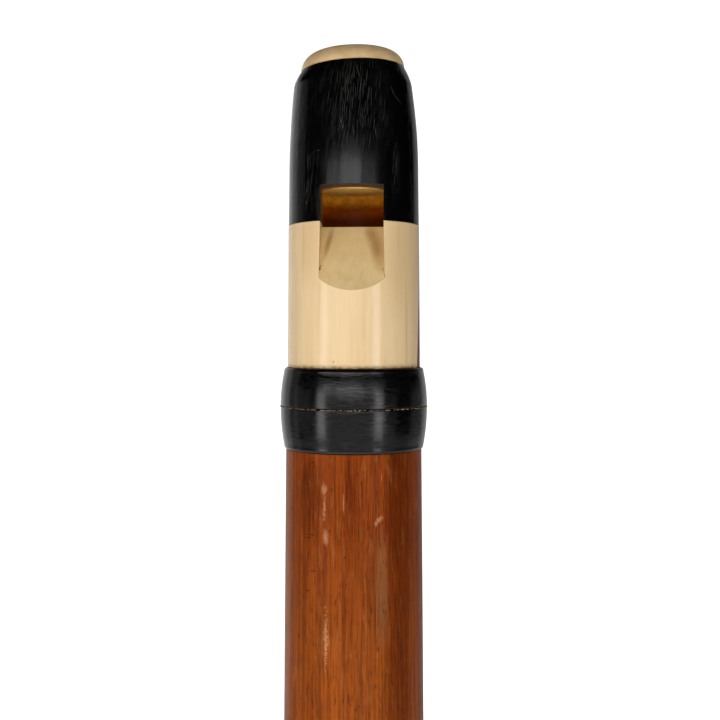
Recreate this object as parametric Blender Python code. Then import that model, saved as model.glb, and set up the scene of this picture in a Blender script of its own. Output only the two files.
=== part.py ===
"""Three-hole pipe, standing upright on its foot.

The bore runs along Z, the window faces -Y, and the origin is the centre of the foot's flat face.
The wooden body ends in a foot of horn and bone, and has a socket at its top. The head is a wooden
core dressed in horn and bone, whose thread-lapped tenon twists in that socket and draws out of it.
Lengths are in metres, and heights are measured up from the foot.
"""

import math

import bmesh
import bpy
from mathutils import Matrix

# The whole pipe
PIPE_LENGTH = 0.4004
BORE_DIAMETER = 0.0125

# The wooden body's outside, under the rings and at the foot
BODY_TOP_DIAMETER = 0.0258
BODY_FOOT_DIAMETER = 0.0288

# Heights of the head's pieces, from the mouth end down, and of the ring on the body
TIP_HEIGHT = 0.0034
MOUTHPIECE_HEIGHT = 0.0295
BONE_HEIGHT = 0.0269
UPPER_RING_HEIGHT = 0.0071
LOWER_RING_HEIGHT = 0.0079

# Outside of the head: each piece's radius is a little less than that of the one below it
BONE_INSET = 0.0003
BONE_TAPER = 0.00015
HORN_INSET = 0.00005
HORN_DRAFT = 0.0001
HORN_STRAIGHT = 0.0092
HORN_TAPER = 0.00102
HORN_SHOULDER = 0.0035
SHOULDER_POWER = 1.6
HORN_LIP = 0.0012
TIP_DIAMETER = 0.0197
TIP_FACE_WIDTH = 0.00025

# The mouth end is finished askew: its outside leans this far towards -X at the end of the lean's
# height, and its seam and its face rise by these shares of x, towards +X
MOUTH_LEAN = 0.00022
LEAN_HEIGHT = 0.0120
SEAM_SLANT = 0.046
FACE_SLANT = 0.025

# The glued joint between the bone in front and the wood behind it lies this far before the axis
BONE_JOINT_OFFSET = 0.00195

# Window, labium and windway
WINDOW_WIDTH = 0.0115
WINDOW_HEIGHT = 0.0073
LABIUM_DROP = 0.0008
LABIUM_LIFT = 0.00055
LABIUM_LAND = 0.0003
LABIUM_UNDERCUT = 0.0125
RAMP_LENGTH = 0.0119
RAMP_FLARE = 0.0003
RAMP_CROWN = 0.00057
WINDWAY_INSET = 0.00025
WINDWAY_EXIT_HEIGHT = 0.00105
WINDWAY_ENTRY_HEIGHT = 0.00130
BLOCK_CHAMFER = 0.0008

# The tenon, and the mouth of its socket
TENON_WALL = 0.00255
TENON_LENGTH = 0.0180
TENON_END_ROUNDING = 0.0006
SOCKET_MOUTH_BEVEL = 0.0004

# The groove in the tenon and the thread lapping in it
LAPPING_COLLAR = 0.0030
LAPPING_GROOVE = 0.0008
LAPPING_ROUNDING = 0.0004

# The two horn rings at the joint, which stand proud of the body's wood and are let into it
RING_PROUD = 0.00105
RING_SEAT_DEPTH = 0.0019
RING_BARREL = 0.00066
RING_EDGE = 0.0007
RING_SEAM_BEVEL = 0.00015
UPPER_RING_STEP = 0.0004

# The foot: a horn ferrule over the end of the body, and a bone cap on a short spigot under it
FERRULE_HEIGHT = 0.0150
FERRULE_PROUD = 0.0009
FERRULE_BARREL = 0.0006
FERRULE_SEAT_DEPTH = 0.0029
FOOT_CAP_HEIGHT = 0.0045
FOOT_CAP_INSET = 0.0002
FOOT_CAP_ROUNDING = 0.0012
FOOT_SPIGOT_HEIGHT = 0.0022
FOOT_SPIGOT_WALL = 0.0026

# Finger holes, by their height over the foot
HOLE_DIAMETER = 0.0070
HOLE_RIM_FLARE = 0.0004
HOLE_UNDERCUT = 0.0008
LOW_HOLE_HEIGHT = 0.0460
MIDDLE_HOLE_HEIGHT = 0.0790
THUMB_HOLE_HEIGHT = 0.1060

# Fits: glued faces, the faces of the two rings, the tenon in its socket, the thread in both
GLUE_GAP = 0.0001
SEAT_GAP = 0.0002
TENON_CLEARANCE = 0.0004
TENON_END_GAP = 0.0005
LAPPING_GAP = 0.0001

# Fineness of the turned and lofted surfaces
FACETS = 60
LAPPING_FACETS = 36
HOLE_FACETS = 24
BODY_STATIONS = 6
BARREL_STATIONS = 3
TAPER_STATIONS = 5
SHOULDER_STATIONS = 4
ROUNDING_STATIONS = 3
TIP_STATIONS = 5
RAMP_STATIONS = 8
WINDWAY_STATIONS = 8
SHARP_ANGLE = math.radians(30)
CUT_MARGIN = 0.004

# Heights that follow from the sizes above
TIP_SEAM = PIPE_LENGTH - TIP_HEIGHT
HORN_SEAM = TIP_SEAM - MOUTHPIECE_HEIGHT
BONE_SEAM = HORN_SEAM - BONE_HEIGHT
HEAD_SEAT = BONE_SEAM - UPPER_RING_HEIGHT
BODY_TOP = HEAD_SEAT - SEAT_GAP
BODY_SHOULDER = BODY_TOP - LOWER_RING_HEIGHT
TENON_END = HEAD_SEAT - TENON_LENGTH
FERRULE_TOP = FOOT_CAP_HEIGHT + FERRULE_HEIGHT
LABIUM = HORN_SEAM - LABIUM_DROP
WINDOW_ROOF = LABIUM + WINDOW_HEIGHT

# Radii that follow from the sizes above
BORE = BORE_DIAMETER / 2
LABIUM_RADIUS = BORE + LABIUM_LIFT
TENON = BORE + TENON_WALL
SOCKET = TENON + TENON_CLEARANCE
RING_SEAT = BODY_TOP_DIAMETER / 2 - RING_SEAT_DEPTH
RING_CROWN = BODY_TOP_DIAMETER / 2 + RING_PROUD
BONE_FOOT = BODY_TOP_DIAMETER / 2 - BONE_INSET
BONE_TOP = BONE_FOOT - BONE_TAPER
HORN = BONE_TOP - HORN_INSET
TIP = TIP_DIAMETER / 2
MOUTHPIECE_SPIGOT = TIP - HORN_LIP
FERRULE_SEAT = BODY_FOOT_DIAMETER / 2 - FERRULE_SEAT_DEPTH
FOOT_SPIGOT = BORE + FOOT_SPIGOT_WALL
HEAD_REACH = BONE_FOOT + CUT_MARGIN


def material(name, colour, roughness):
    """A plain finish for one kind of stuff."""
    made = bpy.data.materials.new(name)
    made.use_nodes = True
    shader = made.node_tree.nodes["Principled BSDF"]
    shader.inputs["Base Color"].default_value = (*colour, 1.0)
    shader.inputs["Roughness"].default_value = roughness
    shader.inputs["Metallic"].default_value = 0.0
    return made


def carrier(name, parent=None):
    """An empty on the pipe's axis, which carries the pieces that move together."""
    made = bpy.data.objects.new(name, None)
    bpy.context.scene.collection.objects.link(made)
    made.parent = parent
    return made


def place(name, mesh, finish, parent, seat):
    """A piece whose origin is put on the axis at the height of its seat."""
    mesh.transform(Matrix.Translation((0, 0, -seat)))
    mesh.materials.append(finish)
    piece = bpy.data.objects.new(name, mesh)
    bpy.context.scene.collection.objects.link(piece)
    piece.parent = parent
    piece.location.z = seat
    return piece


def cutter(name, mesh, parent):
    """A hidden shape that pieces are cut with."""
    tool = bpy.data.objects.new(name, mesh)
    bpy.context.scene.collection.objects.link(tool)
    tool.parent = parent
    tool.hide_render = True
    tool.display_type = "WIRE"
    return tool


def cut(piece, tool):
    """Takes the cutter's shape out of the piece."""
    step = piece.modifiers.new(tool.name, "BOOLEAN")
    step.operation = "DIFFERENCE"
    step.solver = "EXACT"
    step.object = tool


def arc(centre, reach, start, end, steps=ROUNDING_STATIONS):
    """Points along an elliptical arc about a centre, between two angles in degrees."""
    points = []
    for step in range(steps + 1):
        angle = math.radians(start + (end - start) * step / steps)
        points.append((centre[0] + reach[0] * math.cos(angle), centre[1] + reach[1] * math.sin(angle)))
    return points


def held(share):
    """A share kept between nothing and all."""
    return min(max(share, 0.0), 1.0)


def askew(mesh):
    """Leans the outside of a mesh's mouth end to one side, and slants its seam and its face."""
    for corner in mesh.vertices:
        spot = corner.co
        under_seam = TIP_SEAM - spot.z
        outward = held((math.hypot(spot.x, spot.y) - BORE) / (TIP - BORE))
        slant = SEAM_SLANT * held(1 - under_seam / HORN_SHOULDER)
        slant += (FACE_SLANT - SEAM_SLANT) * held(-under_seam / TIP_HEIGHT)
        spot.z += slant * spot.x
        spot.x -= MOUTH_LEAN * outward * held(1 - under_seam / LEAN_HEIGHT)
    return mesh


def finished(name, shape):
    """The mesh of a closed shape, with its faces turned outwards."""
    bmesh.ops.recalc_face_normals(shape, faces=shape.faces)
    mesh = bpy.data.meshes.new(name)
    shape.to_mesh(mesh)
    shape.free()
    return mesh


def turned(name, outline, facets=FACETS):
    """A mesh turned about Z from (radius, height) points, left open where they start on the axis."""
    shape = bmesh.new()
    corners = [shape.verts.new((radius, 0.0, height)) for radius, height in outline]
    following = corners[1:]
    if outline[0][0] > 0:
        following.append(corners[0])
    edges = [shape.edges.new(pair) for pair in zip(corners, following)]
    bmesh.ops.spin(
        shape,
        geom=corners + edges,
        cent=(0, 0, 0),
        axis=(0, 0, 1),
        angle=math.tau,
        steps=facets,
        use_merge=True,
    )
    bmesh.ops.remove_doubles(shape, verts=shape.verts, dist=1e-7)
    mesh = finished(name, shape)
    mesh.shade_smooth()
    mesh.set_sharp_from_angle(angle=SHARP_ANGLE)
    return mesh


def lofted(name, sections):
    """A mesh through sections of equally many points, capped at both ends."""
    shape = bmesh.new()
    rings = [[shape.verts.new(point) for point in section] for section in sections]
    for ring, following in zip(rings, rings[1:]):
        for index in range(len(ring)):
            after = (index + 1) % len(ring)
            shape.faces.new((ring[index], ring[after], following[after], following[index]))
    shape.faces.new(rings[0])
    shape.faces.new(rings[-1])
    bmesh.ops.triangulate(shape, faces=shape.faces)
    return finished(name, shape)


def extruded(name, half_width, outline):
    """A mesh of an outline of (y, z) points, extruded across the pipe."""
    return lofted(name, [[(side * half_width, y, z) for y, z in outline] for side in (-1, 1)])


def box(name, low, high):
    """A box mesh between two corners."""
    face = [(low[1], low[2]), (high[1], low[2]), (high[1], high[2]), (low[1], high[2])]
    return lofted(name, [[(x, y, z) for y, z in face] for x in (low[0], high[0])])


def barrel(crown, fall, rim, mouth, end):
    """Outer points of a ring that is fullest at its mouth, falls away and is rounded into its rim."""
    edge = end - math.copysign(RING_EDGE, end - mouth)
    points = []
    for station in range(BARREL_STATIONS + 1):
        share = station / BARREL_STATIONS
        points.append((crown - fall * share**2, mouth + (edge - mouth) * share))
    return points + arc((rim, edge), (crown - fall - rim, end - edge), 0, 90)[1:]


def joint_ring(name, mouth, end, rim):
    """A horn ring on its seat, with its finely bevelled mouth at the joint between head and body."""
    seat = RING_SEAT + GLUE_GAP
    bevel = math.copysign(RING_SEAM_BEVEL, end - mouth)
    outline = [(RING_CROWN - RING_SEAM_BEVEL, mouth)]
    outline += barrel(RING_CROWN, RING_BARREL, rim, mouth + bevel, end)
    outline += [(seat, end), (seat, mouth)]
    return turned(name, outline)


def body_radius(height):
    """Outside radius of the wooden body, which swells towards the foot."""
    share = (BODY_SHOULDER - height) / (BODY_SHOULDER - FERRULE_TOP)
    swell = (BODY_FOOT_DIAMETER - BODY_TOP_DIAMETER) / 2
    return BODY_TOP_DIAMETER / 2 + swell * math.sin(share * math.pi / 2)


def bone_radius(height):
    """Outside radius of the bone and of the wood behind it."""
    return BONE_TOP + BONE_TAPER * (HORN_SEAM - height) / BONE_HEIGHT


def hole_cutter(name, height, side, parent):
    """A finger hole from the bore out, undercut inside and eased at its rim. In front, side is -1."""
    wall = body_radius(height)
    hole = HOLE_DIAMETER / 2
    start = BORE / 3
    undercut_end = BORE + (wall - BORE) / 3
    rim = hole + HOLE_RIM_FLARE
    outline = [
        (0.0, start),
        (hole + HOLE_UNDERCUT, start),
        (hole, undercut_end),
        (hole, wall - 2 * HOLE_RIM_FLARE),
        (rim, wall),
        (rim, wall + CUT_MARGIN),
        (0.0, wall + CUT_MARGIN),
    ]
    mesh = turned(name, outline, HOLE_FACETS)
    mesh.transform(Matrix.Rotation(math.radians(-90 * side), 4, "X"))
    mesh.transform(Matrix.Translation((0, 0, height)))
    return cutter(name, mesh, parent)


def make_body(parent, wood):
    """The wooden tube: its bore, its socket, the seats of its rings and three finger holes."""
    spigot_foot = FOOT_CAP_HEIGHT - FOOT_SPIGOT_HEIGHT + GLUE_GAP
    foot = FOOT_CAP_HEIGHT + GLUE_GAP
    swell_foot = FERRULE_TOP + GLUE_GAP
    shoulder = BODY_SHOULDER - GLUE_GAP
    socket_floor = TENON_END - TENON_END_GAP
    outline = [
        (BORE, spigot_foot),
        (FOOT_SPIGOT, spigot_foot),
        (FOOT_SPIGOT, foot),
        (FERRULE_SEAT, foot),
        (FERRULE_SEAT, swell_foot),
    ]
    for station in range(BODY_STATIONS + 1):
        height = swell_foot + (shoulder - swell_foot) * station / BODY_STATIONS
        outline.append((body_radius(height), height))
    outline += [
        (RING_SEAT, shoulder),
        (RING_SEAT, BODY_TOP),
        (SOCKET + SOCKET_MOUTH_BEVEL, BODY_TOP),
        (SOCKET, BODY_TOP - SOCKET_MOUTH_BEVEL),
        (SOCKET, socket_floor),
        (BORE, socket_floor),
    ]
    body = place("body_tube", turned("body_tube", outline), wood, parent, spigot_foot)
    cut(body, hole_cutter("low_hole_cut", LOW_HOLE_HEIGHT, -1, parent))
    cut(body, hole_cutter("middle_hole_cut", MIDDLE_HOLE_HEIGHT, -1, parent))
    cut(body, hole_cutter("thumb_hole_cut", THUMB_HOLE_HEIGHT, 1, parent))


def make_lower_ring(parent, horn):
    """The horn ring on the body, flush with the wood under it."""
    ring = joint_ring("lower_horn_ring", BODY_TOP, BODY_SHOULDER, BODY_TOP_DIAMETER / 2)
    place("lower_horn_ring", ring, horn, parent, BODY_SHOULDER)


def make_ferrule(parent, horn):
    """The horn ferrule over the end of the body, barrelled both ways from its middle."""
    low = FOOT_CAP_HEIGHT + GLUE_GAP
    middle = FOOT_CAP_HEIGHT + FERRULE_HEIGHT / 2
    rim = BODY_FOOT_DIAMETER / 2
    seat = FERRULE_SEAT + GLUE_GAP
    outline = barrel(rim + FERRULE_PROUD, FERRULE_BARREL, rim, middle, low)[:0:-1]
    outline += barrel(rim + FERRULE_PROUD, FERRULE_BARREL, rim, middle, FERRULE_TOP)
    outline += [(seat, FERRULE_TOP), (seat, low)]
    place("foot_horn_ferrule", turned("foot_horn_ferrule", outline), horn, parent, low)


def make_foot_cap(parent, bone):
    """The bone cap that the pipe stands on, counterbored for the body's short spigot."""
    edge = BODY_FOOT_DIAMETER / 2 - FOOT_CAP_INSET
    flat = edge - FOOT_CAP_ROUNDING
    seat = FOOT_SPIGOT + GLUE_GAP
    floor = FOOT_CAP_HEIGHT - FOOT_SPIGOT_HEIGHT
    outline = [(BORE, 0.0)]
    outline += arc((flat, FOOT_CAP_ROUNDING), (FOOT_CAP_ROUNDING, FOOT_CAP_ROUNDING), -90, 0)
    outline += [(edge, FOOT_CAP_HEIGHT), (seat, FOOT_CAP_HEIGHT), (seat, floor), (BORE, floor)]
    place("foot_bone_cap", turned("foot_bone_cap", outline), bone, parent, 0.0)


def make_lapping(parent, thread):
    """The waxed thread wound into the tenon's groove, as one sleeve with rounded ends."""
    inner = TENON - LAPPING_GROOVE + LAPPING_GAP
    outer = SOCKET - LAPPING_GAP
    low = TENON_END + LAPPING_COLLAR + LAPPING_GAP
    high = HEAD_SEAT - LAPPING_COLLAR - LAPPING_GAP
    reach = (LAPPING_ROUNDING, LAPPING_ROUNDING)
    outline = [(inner, low)]
    outline += arc((outer - LAPPING_ROUNDING, low + LAPPING_ROUNDING), reach, -90, 0)
    outline += arc((outer - LAPPING_ROUNDING, high - LAPPING_ROUNDING), reach, 0, 90)
    outline += [(inner, high)]
    place("thread_lapping", turned("thread_lapping", outline, LAPPING_FACETS), thread, parent, low)


def window_cutter(parent):
    """Opens the window into the bore, and thins the labium from below to a narrow straight land."""
    land = LABIUM_RADIUS - LABIUM_LAND
    outline = [
        (-HEAD_REACH, WINDOW_ROOF),
        (-HEAD_REACH, LABIUM),
        (-land, LABIUM),
        (0.0, LABIUM - LABIUM_UNDERCUT),
        (0.0, WINDOW_ROOF),
    ]
    return cutter("window_cut", extruded("window_cut", WINDOW_WIDTH / 2, outline), parent)


def ramp_cutter(parent):
    """The ramp up to the labium: it widens downwards, and its sides lie deeper than its middle."""
    outside = bone_radius(LABIUM - RAMP_LENGTH)
    top, foot = LABIUM + LABIUM_DROP / 2, LABIUM - RAMP_LENGTH - CUT_MARGIN
    sections = []
    for station in range(RAMP_STATIONS + 1):
        across = 2 * station / RAMP_STATIONS - 1
        slope = (outside - LABIUM_RADIUS - RAMP_CROWN * across**2) / RAMP_LENGTH
        section = []
        for height in (top, foot):
            x = across * (WINDOW_WIDTH / 2 + RAMP_FLARE * (LABIUM - height) / RAMP_LENGTH)
            section.append((x, -LABIUM_RADIUS - slope * (LABIUM - height), height))
        section += [(x, -HEAD_REACH, height) for x, _, height in reversed(section)]
        sections.append(section)
    return cutter("ramp_cut", lofted("ramp_cut", sections), parent)


def windway_cutter(parent):
    """The arched slot over the block, a little higher where the breath enters than over the window."""
    half_width = WINDOW_WIDTH / 2 - WINDWAY_INSET
    levels = (
        (WINDOW_ROOF - CUT_MARGIN / 2, WINDWAY_EXIT_HEIGHT),
        (PIPE_LENGTH + CUT_MARGIN, WINDWAY_ENTRY_HEIGHT),
    )
    sections = []
    for height, opening in levels:
        roof = BORE + opening
        half_angle = math.asin(half_width / roof)
        turn = math.degrees(half_angle)
        floor = -roof * math.cos(half_angle) / 2
        outline = arc((0, 0), (roof, roof), -90 - turn, -90 + turn, WINDWAY_STATIONS)
        outline += [(half_width, floor), (-half_width, floor)]
        sections.append([(x, y, height) for x, y in outline])
    return cutter("windway_cut", lofted("windway_cut", sections), parent)


def make_core(parent, wood, window, windway):
    """The wooden core: a grooved tenon, the ring's seat, the half behind the bone, the horn's spigot."""
    groove = TENON - LAPPING_GROOVE
    groove_low, groove_high = TENON_END + LAPPING_COLLAR, HEAD_SEAT - LAPPING_COLLAR
    bone_low, bone_high = BONE_SEAM + GLUE_GAP, HORN_SEAM - GLUE_GAP
    end_centre = (TENON - TENON_END_ROUNDING, TENON_END + TENON_END_ROUNDING)
    outline = [(BORE, TENON_END)]
    outline += arc(end_centre, (TENON_END_ROUNDING, TENON_END_ROUNDING), -90, 0)
    outline += [
        (TENON, groove_low),
        (groove, groove_low),
        (groove, groove_high),
        (TENON, groove_high),
        (TENON, HEAD_SEAT),
        (RING_SEAT, HEAD_SEAT),
        (RING_SEAT, bone_low),
        (bone_radius(bone_low), bone_low),
        (bone_radius(bone_high), bone_high),
        (MOUTHPIECE_SPIGOT, bone_high),
        (MOUTHPIECE_SPIGOT, TIP_SEAM),
        (BORE, TIP_SEAM),
    ]
    core = place("head_core", askew(turned("head_core", outline)), wood, parent, HEAD_SEAT)
    low, high = (-HEAD_REACH, -HEAD_REACH, BONE_SEAM), (HEAD_REACH, -BONE_JOINT_OFFSET, HORN_SEAM)
    cut(core, cutter("bone_recess_cut", box("bone_recess_cut", low, high), parent))
    cut(core, window)
    cut(core, windway)


def make_upper_ring(parent, horn):
    """The horn ring on the head, a small step proud of the bone over it."""
    ring = joint_ring("upper_horn_ring", HEAD_SEAT, BONE_SEAM, BONE_FOOT + UPPER_RING_STEP)
    place("upper_horn_ring", ring, horn, parent, HEAD_SEAT)


def make_bone(parent, bone, window, ramp):
    """The bone half-shell in front, which carries the labium and its ramp."""
    low, high = BONE_SEAM + GLUE_GAP, HORN_SEAM - GLUE_GAP
    outline = [(BORE, low), (bone_radius(low), low), (bone_radius(high), high), (BORE, high)]
    shell = place("bone_labium_shell", turned("bone_labium_shell", outline), bone, parent, low)
    behind = -BONE_JOINT_OFFSET - GLUE_GAP
    back_low = (-HEAD_REACH, behind, low - CUT_MARGIN)
    back_high = (HEAD_REACH, HEAD_REACH, high + CUT_MARGIN)
    cut(shell, cutter("bone_back_cut", box("bone_back_cut", back_low, back_high), parent))
    cut(shell, window)
    cut(shell, ramp)


def make_mouthpiece(parent, horn, window):
    """The horn sleeve: nearly straight round the window, then a long taper and a shoulder to the tip."""
    seat = MOUTHPIECE_SPIGOT + GLUE_GAP
    taper_low, taper_high = HORN_SEAM + HORN_STRAIGHT, TIP_SEAM - HORN_SHOULDER
    widest = HORN - HORN_DRAFT
    fall = widest - HORN_TAPER - TIP
    outline = [(seat, HORN_SEAM), (HORN, HORN_SEAM)]
    for station in range(TAPER_STATIONS):
        share = station / TAPER_STATIONS
        outline.append((widest - HORN_TAPER * share**2, taper_low + (taper_high - taper_low) * share))
    for station in range(SHOULDER_STATIONS + 1):
        share = station / SHOULDER_STATIONS
        outline.append((TIP + fall * (1 - share**SHOULDER_POWER), taper_high + HORN_SHOULDER * share))
    outline.append((seat, TIP_SEAM))
    mesh = askew(turned("horn_mouthpiece", outline))
    mouthpiece = place("horn_mouthpiece", mesh, horn, parent, HORN_SEAM)
    cut(mouthpiece, window)


def make_tip(parent, bone, windway):
    """The bone tip ring, rounded from its seam up to the flat face round the bore and the windway."""
    low = TIP_SEAM + GLUE_GAP
    face = BORE + TIP_FACE_WIDTH
    outline = arc((face, low), (TIP - face, PIPE_LENGTH - low), 0, 90, TIP_STATIONS)
    outline += [(BORE, PIPE_LENGTH), (BORE, low)]
    tip = place("mouth_tip_ring", askew(turned("mouth_tip_ring", outline)), bone, parent, low)
    cut(tip, windway)


def make_block(parent, cedar):
    """The block that fills the bore over the window, chamfered where the windway ends."""
    radius = BORE - GLUE_GAP
    outline = [(0.0, WINDOW_ROOF), (radius, WINDOW_ROOF), (radius, PIPE_LENGTH), (0.0, PIPE_LENGTH)]
    block = place("fipple_block", askew(turned("fipple_block", outline)), cedar, parent, WINDOW_ROOF)
    reach = BLOCK_CHAMFER / math.sqrt(2)
    wedge = box("block_chamfer_cut", (-BORE_DIAMETER, -reach, -reach), (BORE_DIAMETER, reach, reach))
    wedge.transform(Matrix.Rotation(math.radians(45), 4, "X"))
    wedge.transform(Matrix.Translation((0, -radius, WINDOW_ROOF)))
    cut(block, cutter("block_chamfer_cut", wedge, parent))


def main():
    for leftover in list(bpy.data.objects):
        bpy.data.objects.remove(leftover)

    wood = material("oiled_red_wood", (0.30, 0.095, 0.030), 0.38)
    horn = material("black_horn", (0.020, 0.020, 0.022), 0.35)
    bone = material("polished_bone", (0.78, 0.62, 0.40), 0.30)
    cedar = material("block_cedar", (0.50, 0.33, 0.17), 0.60)
    thread = material("waxed_thread", (0.62, 0.50, 0.34), 0.80)

    body = carrier("body")
    make_body(body, wood)
    make_lower_ring(body, horn)
    make_ferrule(body, horn)
    make_foot_cap(body, bone)

    lapping = carrier("lapping", body)
    make_lapping(lapping, thread)

    head = carrier("head", lapping)
    window, ramp, windway = window_cutter(head), ramp_cutter(head), windway_cutter(head)
    make_core(head, wood, window, windway)
    make_upper_ring(head, horn)
    make_bone(head, bone, window, ramp)
    make_mouthpiece(head, horn, window)
    make_tip(head, bone, windway)
    make_block(head, cedar)


main()
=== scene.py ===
"""Looks of a three-hole pipe in red wood, black horn and bone.

The script is laid out as an add-on and run as a script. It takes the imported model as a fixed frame,
makes a finely turned piece in place of each of its nodes, gives every piece its finish, and sets the
stage. Lengths are in metres, the bore runs along Z and the window faces -Y. Patterns in the finishes
count in millimetres.
"""

import math
import random

import bmesh
import bpy
from bpy.props import FloatProperty, FloatVectorProperty, IntProperty, PointerProperty
from bpy.types import Operator, Panel, PropertyGroup
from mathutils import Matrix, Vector


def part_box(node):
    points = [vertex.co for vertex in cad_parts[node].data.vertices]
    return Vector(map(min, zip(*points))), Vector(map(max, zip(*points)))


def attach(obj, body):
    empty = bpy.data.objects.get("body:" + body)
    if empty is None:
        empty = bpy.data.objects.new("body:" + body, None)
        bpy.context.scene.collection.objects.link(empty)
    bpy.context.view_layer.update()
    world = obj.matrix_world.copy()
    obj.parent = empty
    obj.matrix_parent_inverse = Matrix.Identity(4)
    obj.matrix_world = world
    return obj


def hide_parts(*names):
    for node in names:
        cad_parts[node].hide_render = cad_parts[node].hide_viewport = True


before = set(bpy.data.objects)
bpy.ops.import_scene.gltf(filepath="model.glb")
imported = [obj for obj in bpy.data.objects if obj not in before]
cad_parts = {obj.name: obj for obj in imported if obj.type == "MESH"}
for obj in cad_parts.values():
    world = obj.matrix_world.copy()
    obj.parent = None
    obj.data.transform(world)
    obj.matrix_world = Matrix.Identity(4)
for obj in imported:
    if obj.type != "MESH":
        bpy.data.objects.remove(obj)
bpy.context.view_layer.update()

bl_info = {
    "name": "Three-hole pipe",
    "version": (1, 0, 0),
    "blender": (4, 5, 0),
    "location": "View3D > Sidebar > Pipe",
    "description": "Makes a three-hole pipe of red wood, black horn and bone, and its stage",
    "category": "Add Mesh",
}


def low(node):
    """Height of a node's lowest corner."""
    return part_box(node)[0].z


def high(node):
    """Height of a node's highest corner."""
    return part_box(node)[1].z


def reach(node):
    """Radius of a turned node, which has a corner on +X."""
    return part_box(node)[1].x


# Heights of the seams, from the foot up
FERRULE_FOOT = high("foot_bone_cap")
FERRULE_TOP = high("foot_horn_ferrule")
TENON_END = low("head_core")
BODY_SHOULDER = low("lower_horn_ring")
BODY_TOP = high("lower_horn_ring")
HEAD_SEAT = low("upper_horn_ring")
BONE_SEAM = high("upper_horn_ring")
HORN_SEAM = low("horn_mouthpiece")
WINDOW_ROOF = low("fipple_block")
PIPE_TOP = 0.4004
TIP_SEAM = PIPE_TOP - 0.0034
LABIUM = HORN_SEAM - 0.0008

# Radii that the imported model's boxes don't tell
BORE = 0.00625
RING_SEAT = 0.0110
TENON = 0.0088
TENON_GROOVE = 0.0080
SOCKET = 0.0092
HORN_SEAT = 0.00865
BONE_FOOT = 0.0126
BONE_TOP = 0.01245
LABIUM_RADIUS = 0.0068
FERRULE_SEAT = 0.0115
FOOT_SPIGOT = 0.00885
BODY_TOP_RADIUS = 0.0129
TIP_RADIUS = 0.00985

# The mouth end is askew: its outside leans towards -X, and its seam and face rise towards +X
MOUTH_LEAN = 0.00022
LEAN_HEIGHT = 0.0120
SEAM_SLANT = 0.046
FACE_SLANT = 0.025
SHOULDER = 0.0035
# The bone's joint with the wood behind it slants: where its middle lies, and its lean up and across
JOINT_MIDDLE = -0.0014
JOINT_LEAN = 0.125
JOINT_TURN = -0.075

# Small forms of the head. The thread's pitch and depth count in its radius
LABIUM_LAND = 0.0003
LABIUM_UNDERCUT = 0.0125
RAMP_OVERRUN = 0.0004
WINDWAY_INSET = 0.00025
WINDWAY_EXIT = 0.00105
WINDWAY_ENTRY = 0.00130
BLOCK_CHAMFER = 0.0008
HORN_DRAFT = 0.0001
HORN_STRAIGHT = 0.0092
HORN_TAPER = 0.00102
SHOULDER_POWER = 1.6
TIP_FACE = 0.00025
TENON_COLLAR = 0.003
TENON_EASE = 0.0006
THREAD_INSET = 0.00001
THREAD_PITCH = 1.92
THREAD_DEPTH = 1.3

# Small forms of the body, the rings and the foot. A finger hole has a height, and a side: -1 in front
FINGER_HOLES = ((0.046, -1), (0.079, -1), (0.106, 1))
HOLE_UNDERCUT = 0.0008
HOLE_EASE = 0.0004
SOCKET_END_GAP = 0.0005
MOUTH_EASE = 0.0004
RING_EDGE = 0.0007
RING_EASE = 0.00015
RING_STEP = 0.0004
FERRULE_BARREL = 0.0006
CAP_INSET = 0.0002
CAP_EASE = 0.0012
CAP_SPIGOT = 0.0022

# Dirt in the seams: the bead of glue and the crumbs of wax
BEAD_RADIUS = 0.00011
BEAD_PROUD = 0.00002
BEAD_RISE = 0.00003
BEAD_UNEVENNESS = 0.00004
CRUMBS = 320
CRUMB_SIZES = (0.00005, 0.00011)
FIRST_CRUMB = 0.0001
CRUMB_DEPTH = 0.00008

GLUE_GAP = 0.0001
TINY = 1e-7
MARGIN = 0.004
SHARP = math.radians(14)
MM = 1000.0  # millimetres in a metre


def size_property(name, description, default):
    """A length that a user may change."""
    return FloatProperty(name=name, description=description, default=default, unit="LENGTH")


def angle_property(name, description, degrees):
    """An angle that a user may change."""
    return FloatProperty(name=name, description=description, default=math.radians(degrees), unit="ROTATION")


def light_property(name, description):
    """A strength of light that a user may change."""
    return FloatProperty(name=name, description=description, default=1.0, min=0.0)


def colour_property(name, description, *default):
    """A colour that a user may change."""
    return FloatVectorProperty(
        name=name, description=description, subtype="COLOR", default=default, min=0.0, max=1.0
    )


class PipeSizes(PropertyGroup):
    """Sizes of the pipe's visible details."""

    turning_steps: IntProperty(
        name="Turning steps", description="Faces round each turned piece", default=180, min=60, max=360
    )
    window_width: size_property("Window width", "Width of the window at the labium", 0.0115)
    ramp_length: size_property("Ramp length", "Length of the ramp under the labium", 0.0119)
    ramp_flare: size_property("Ramp flare", "What each side of the ramp widens by", 0.0003)
    ramp_crown: size_property("Ramp crown", "How far the ramp's middle stands over its sides", 0.00057)
    hole_diameter: size_property("Finger holes", "Diameter of each finger hole", 0.0070)
    thread_diameter: size_property("Thread", "Diameter of the waxed thread on the tenon", 0.00045)
    ring_barrel: size_property("Ring barrel", "How far each ring falls away from its mouth", 0.00066)


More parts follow.
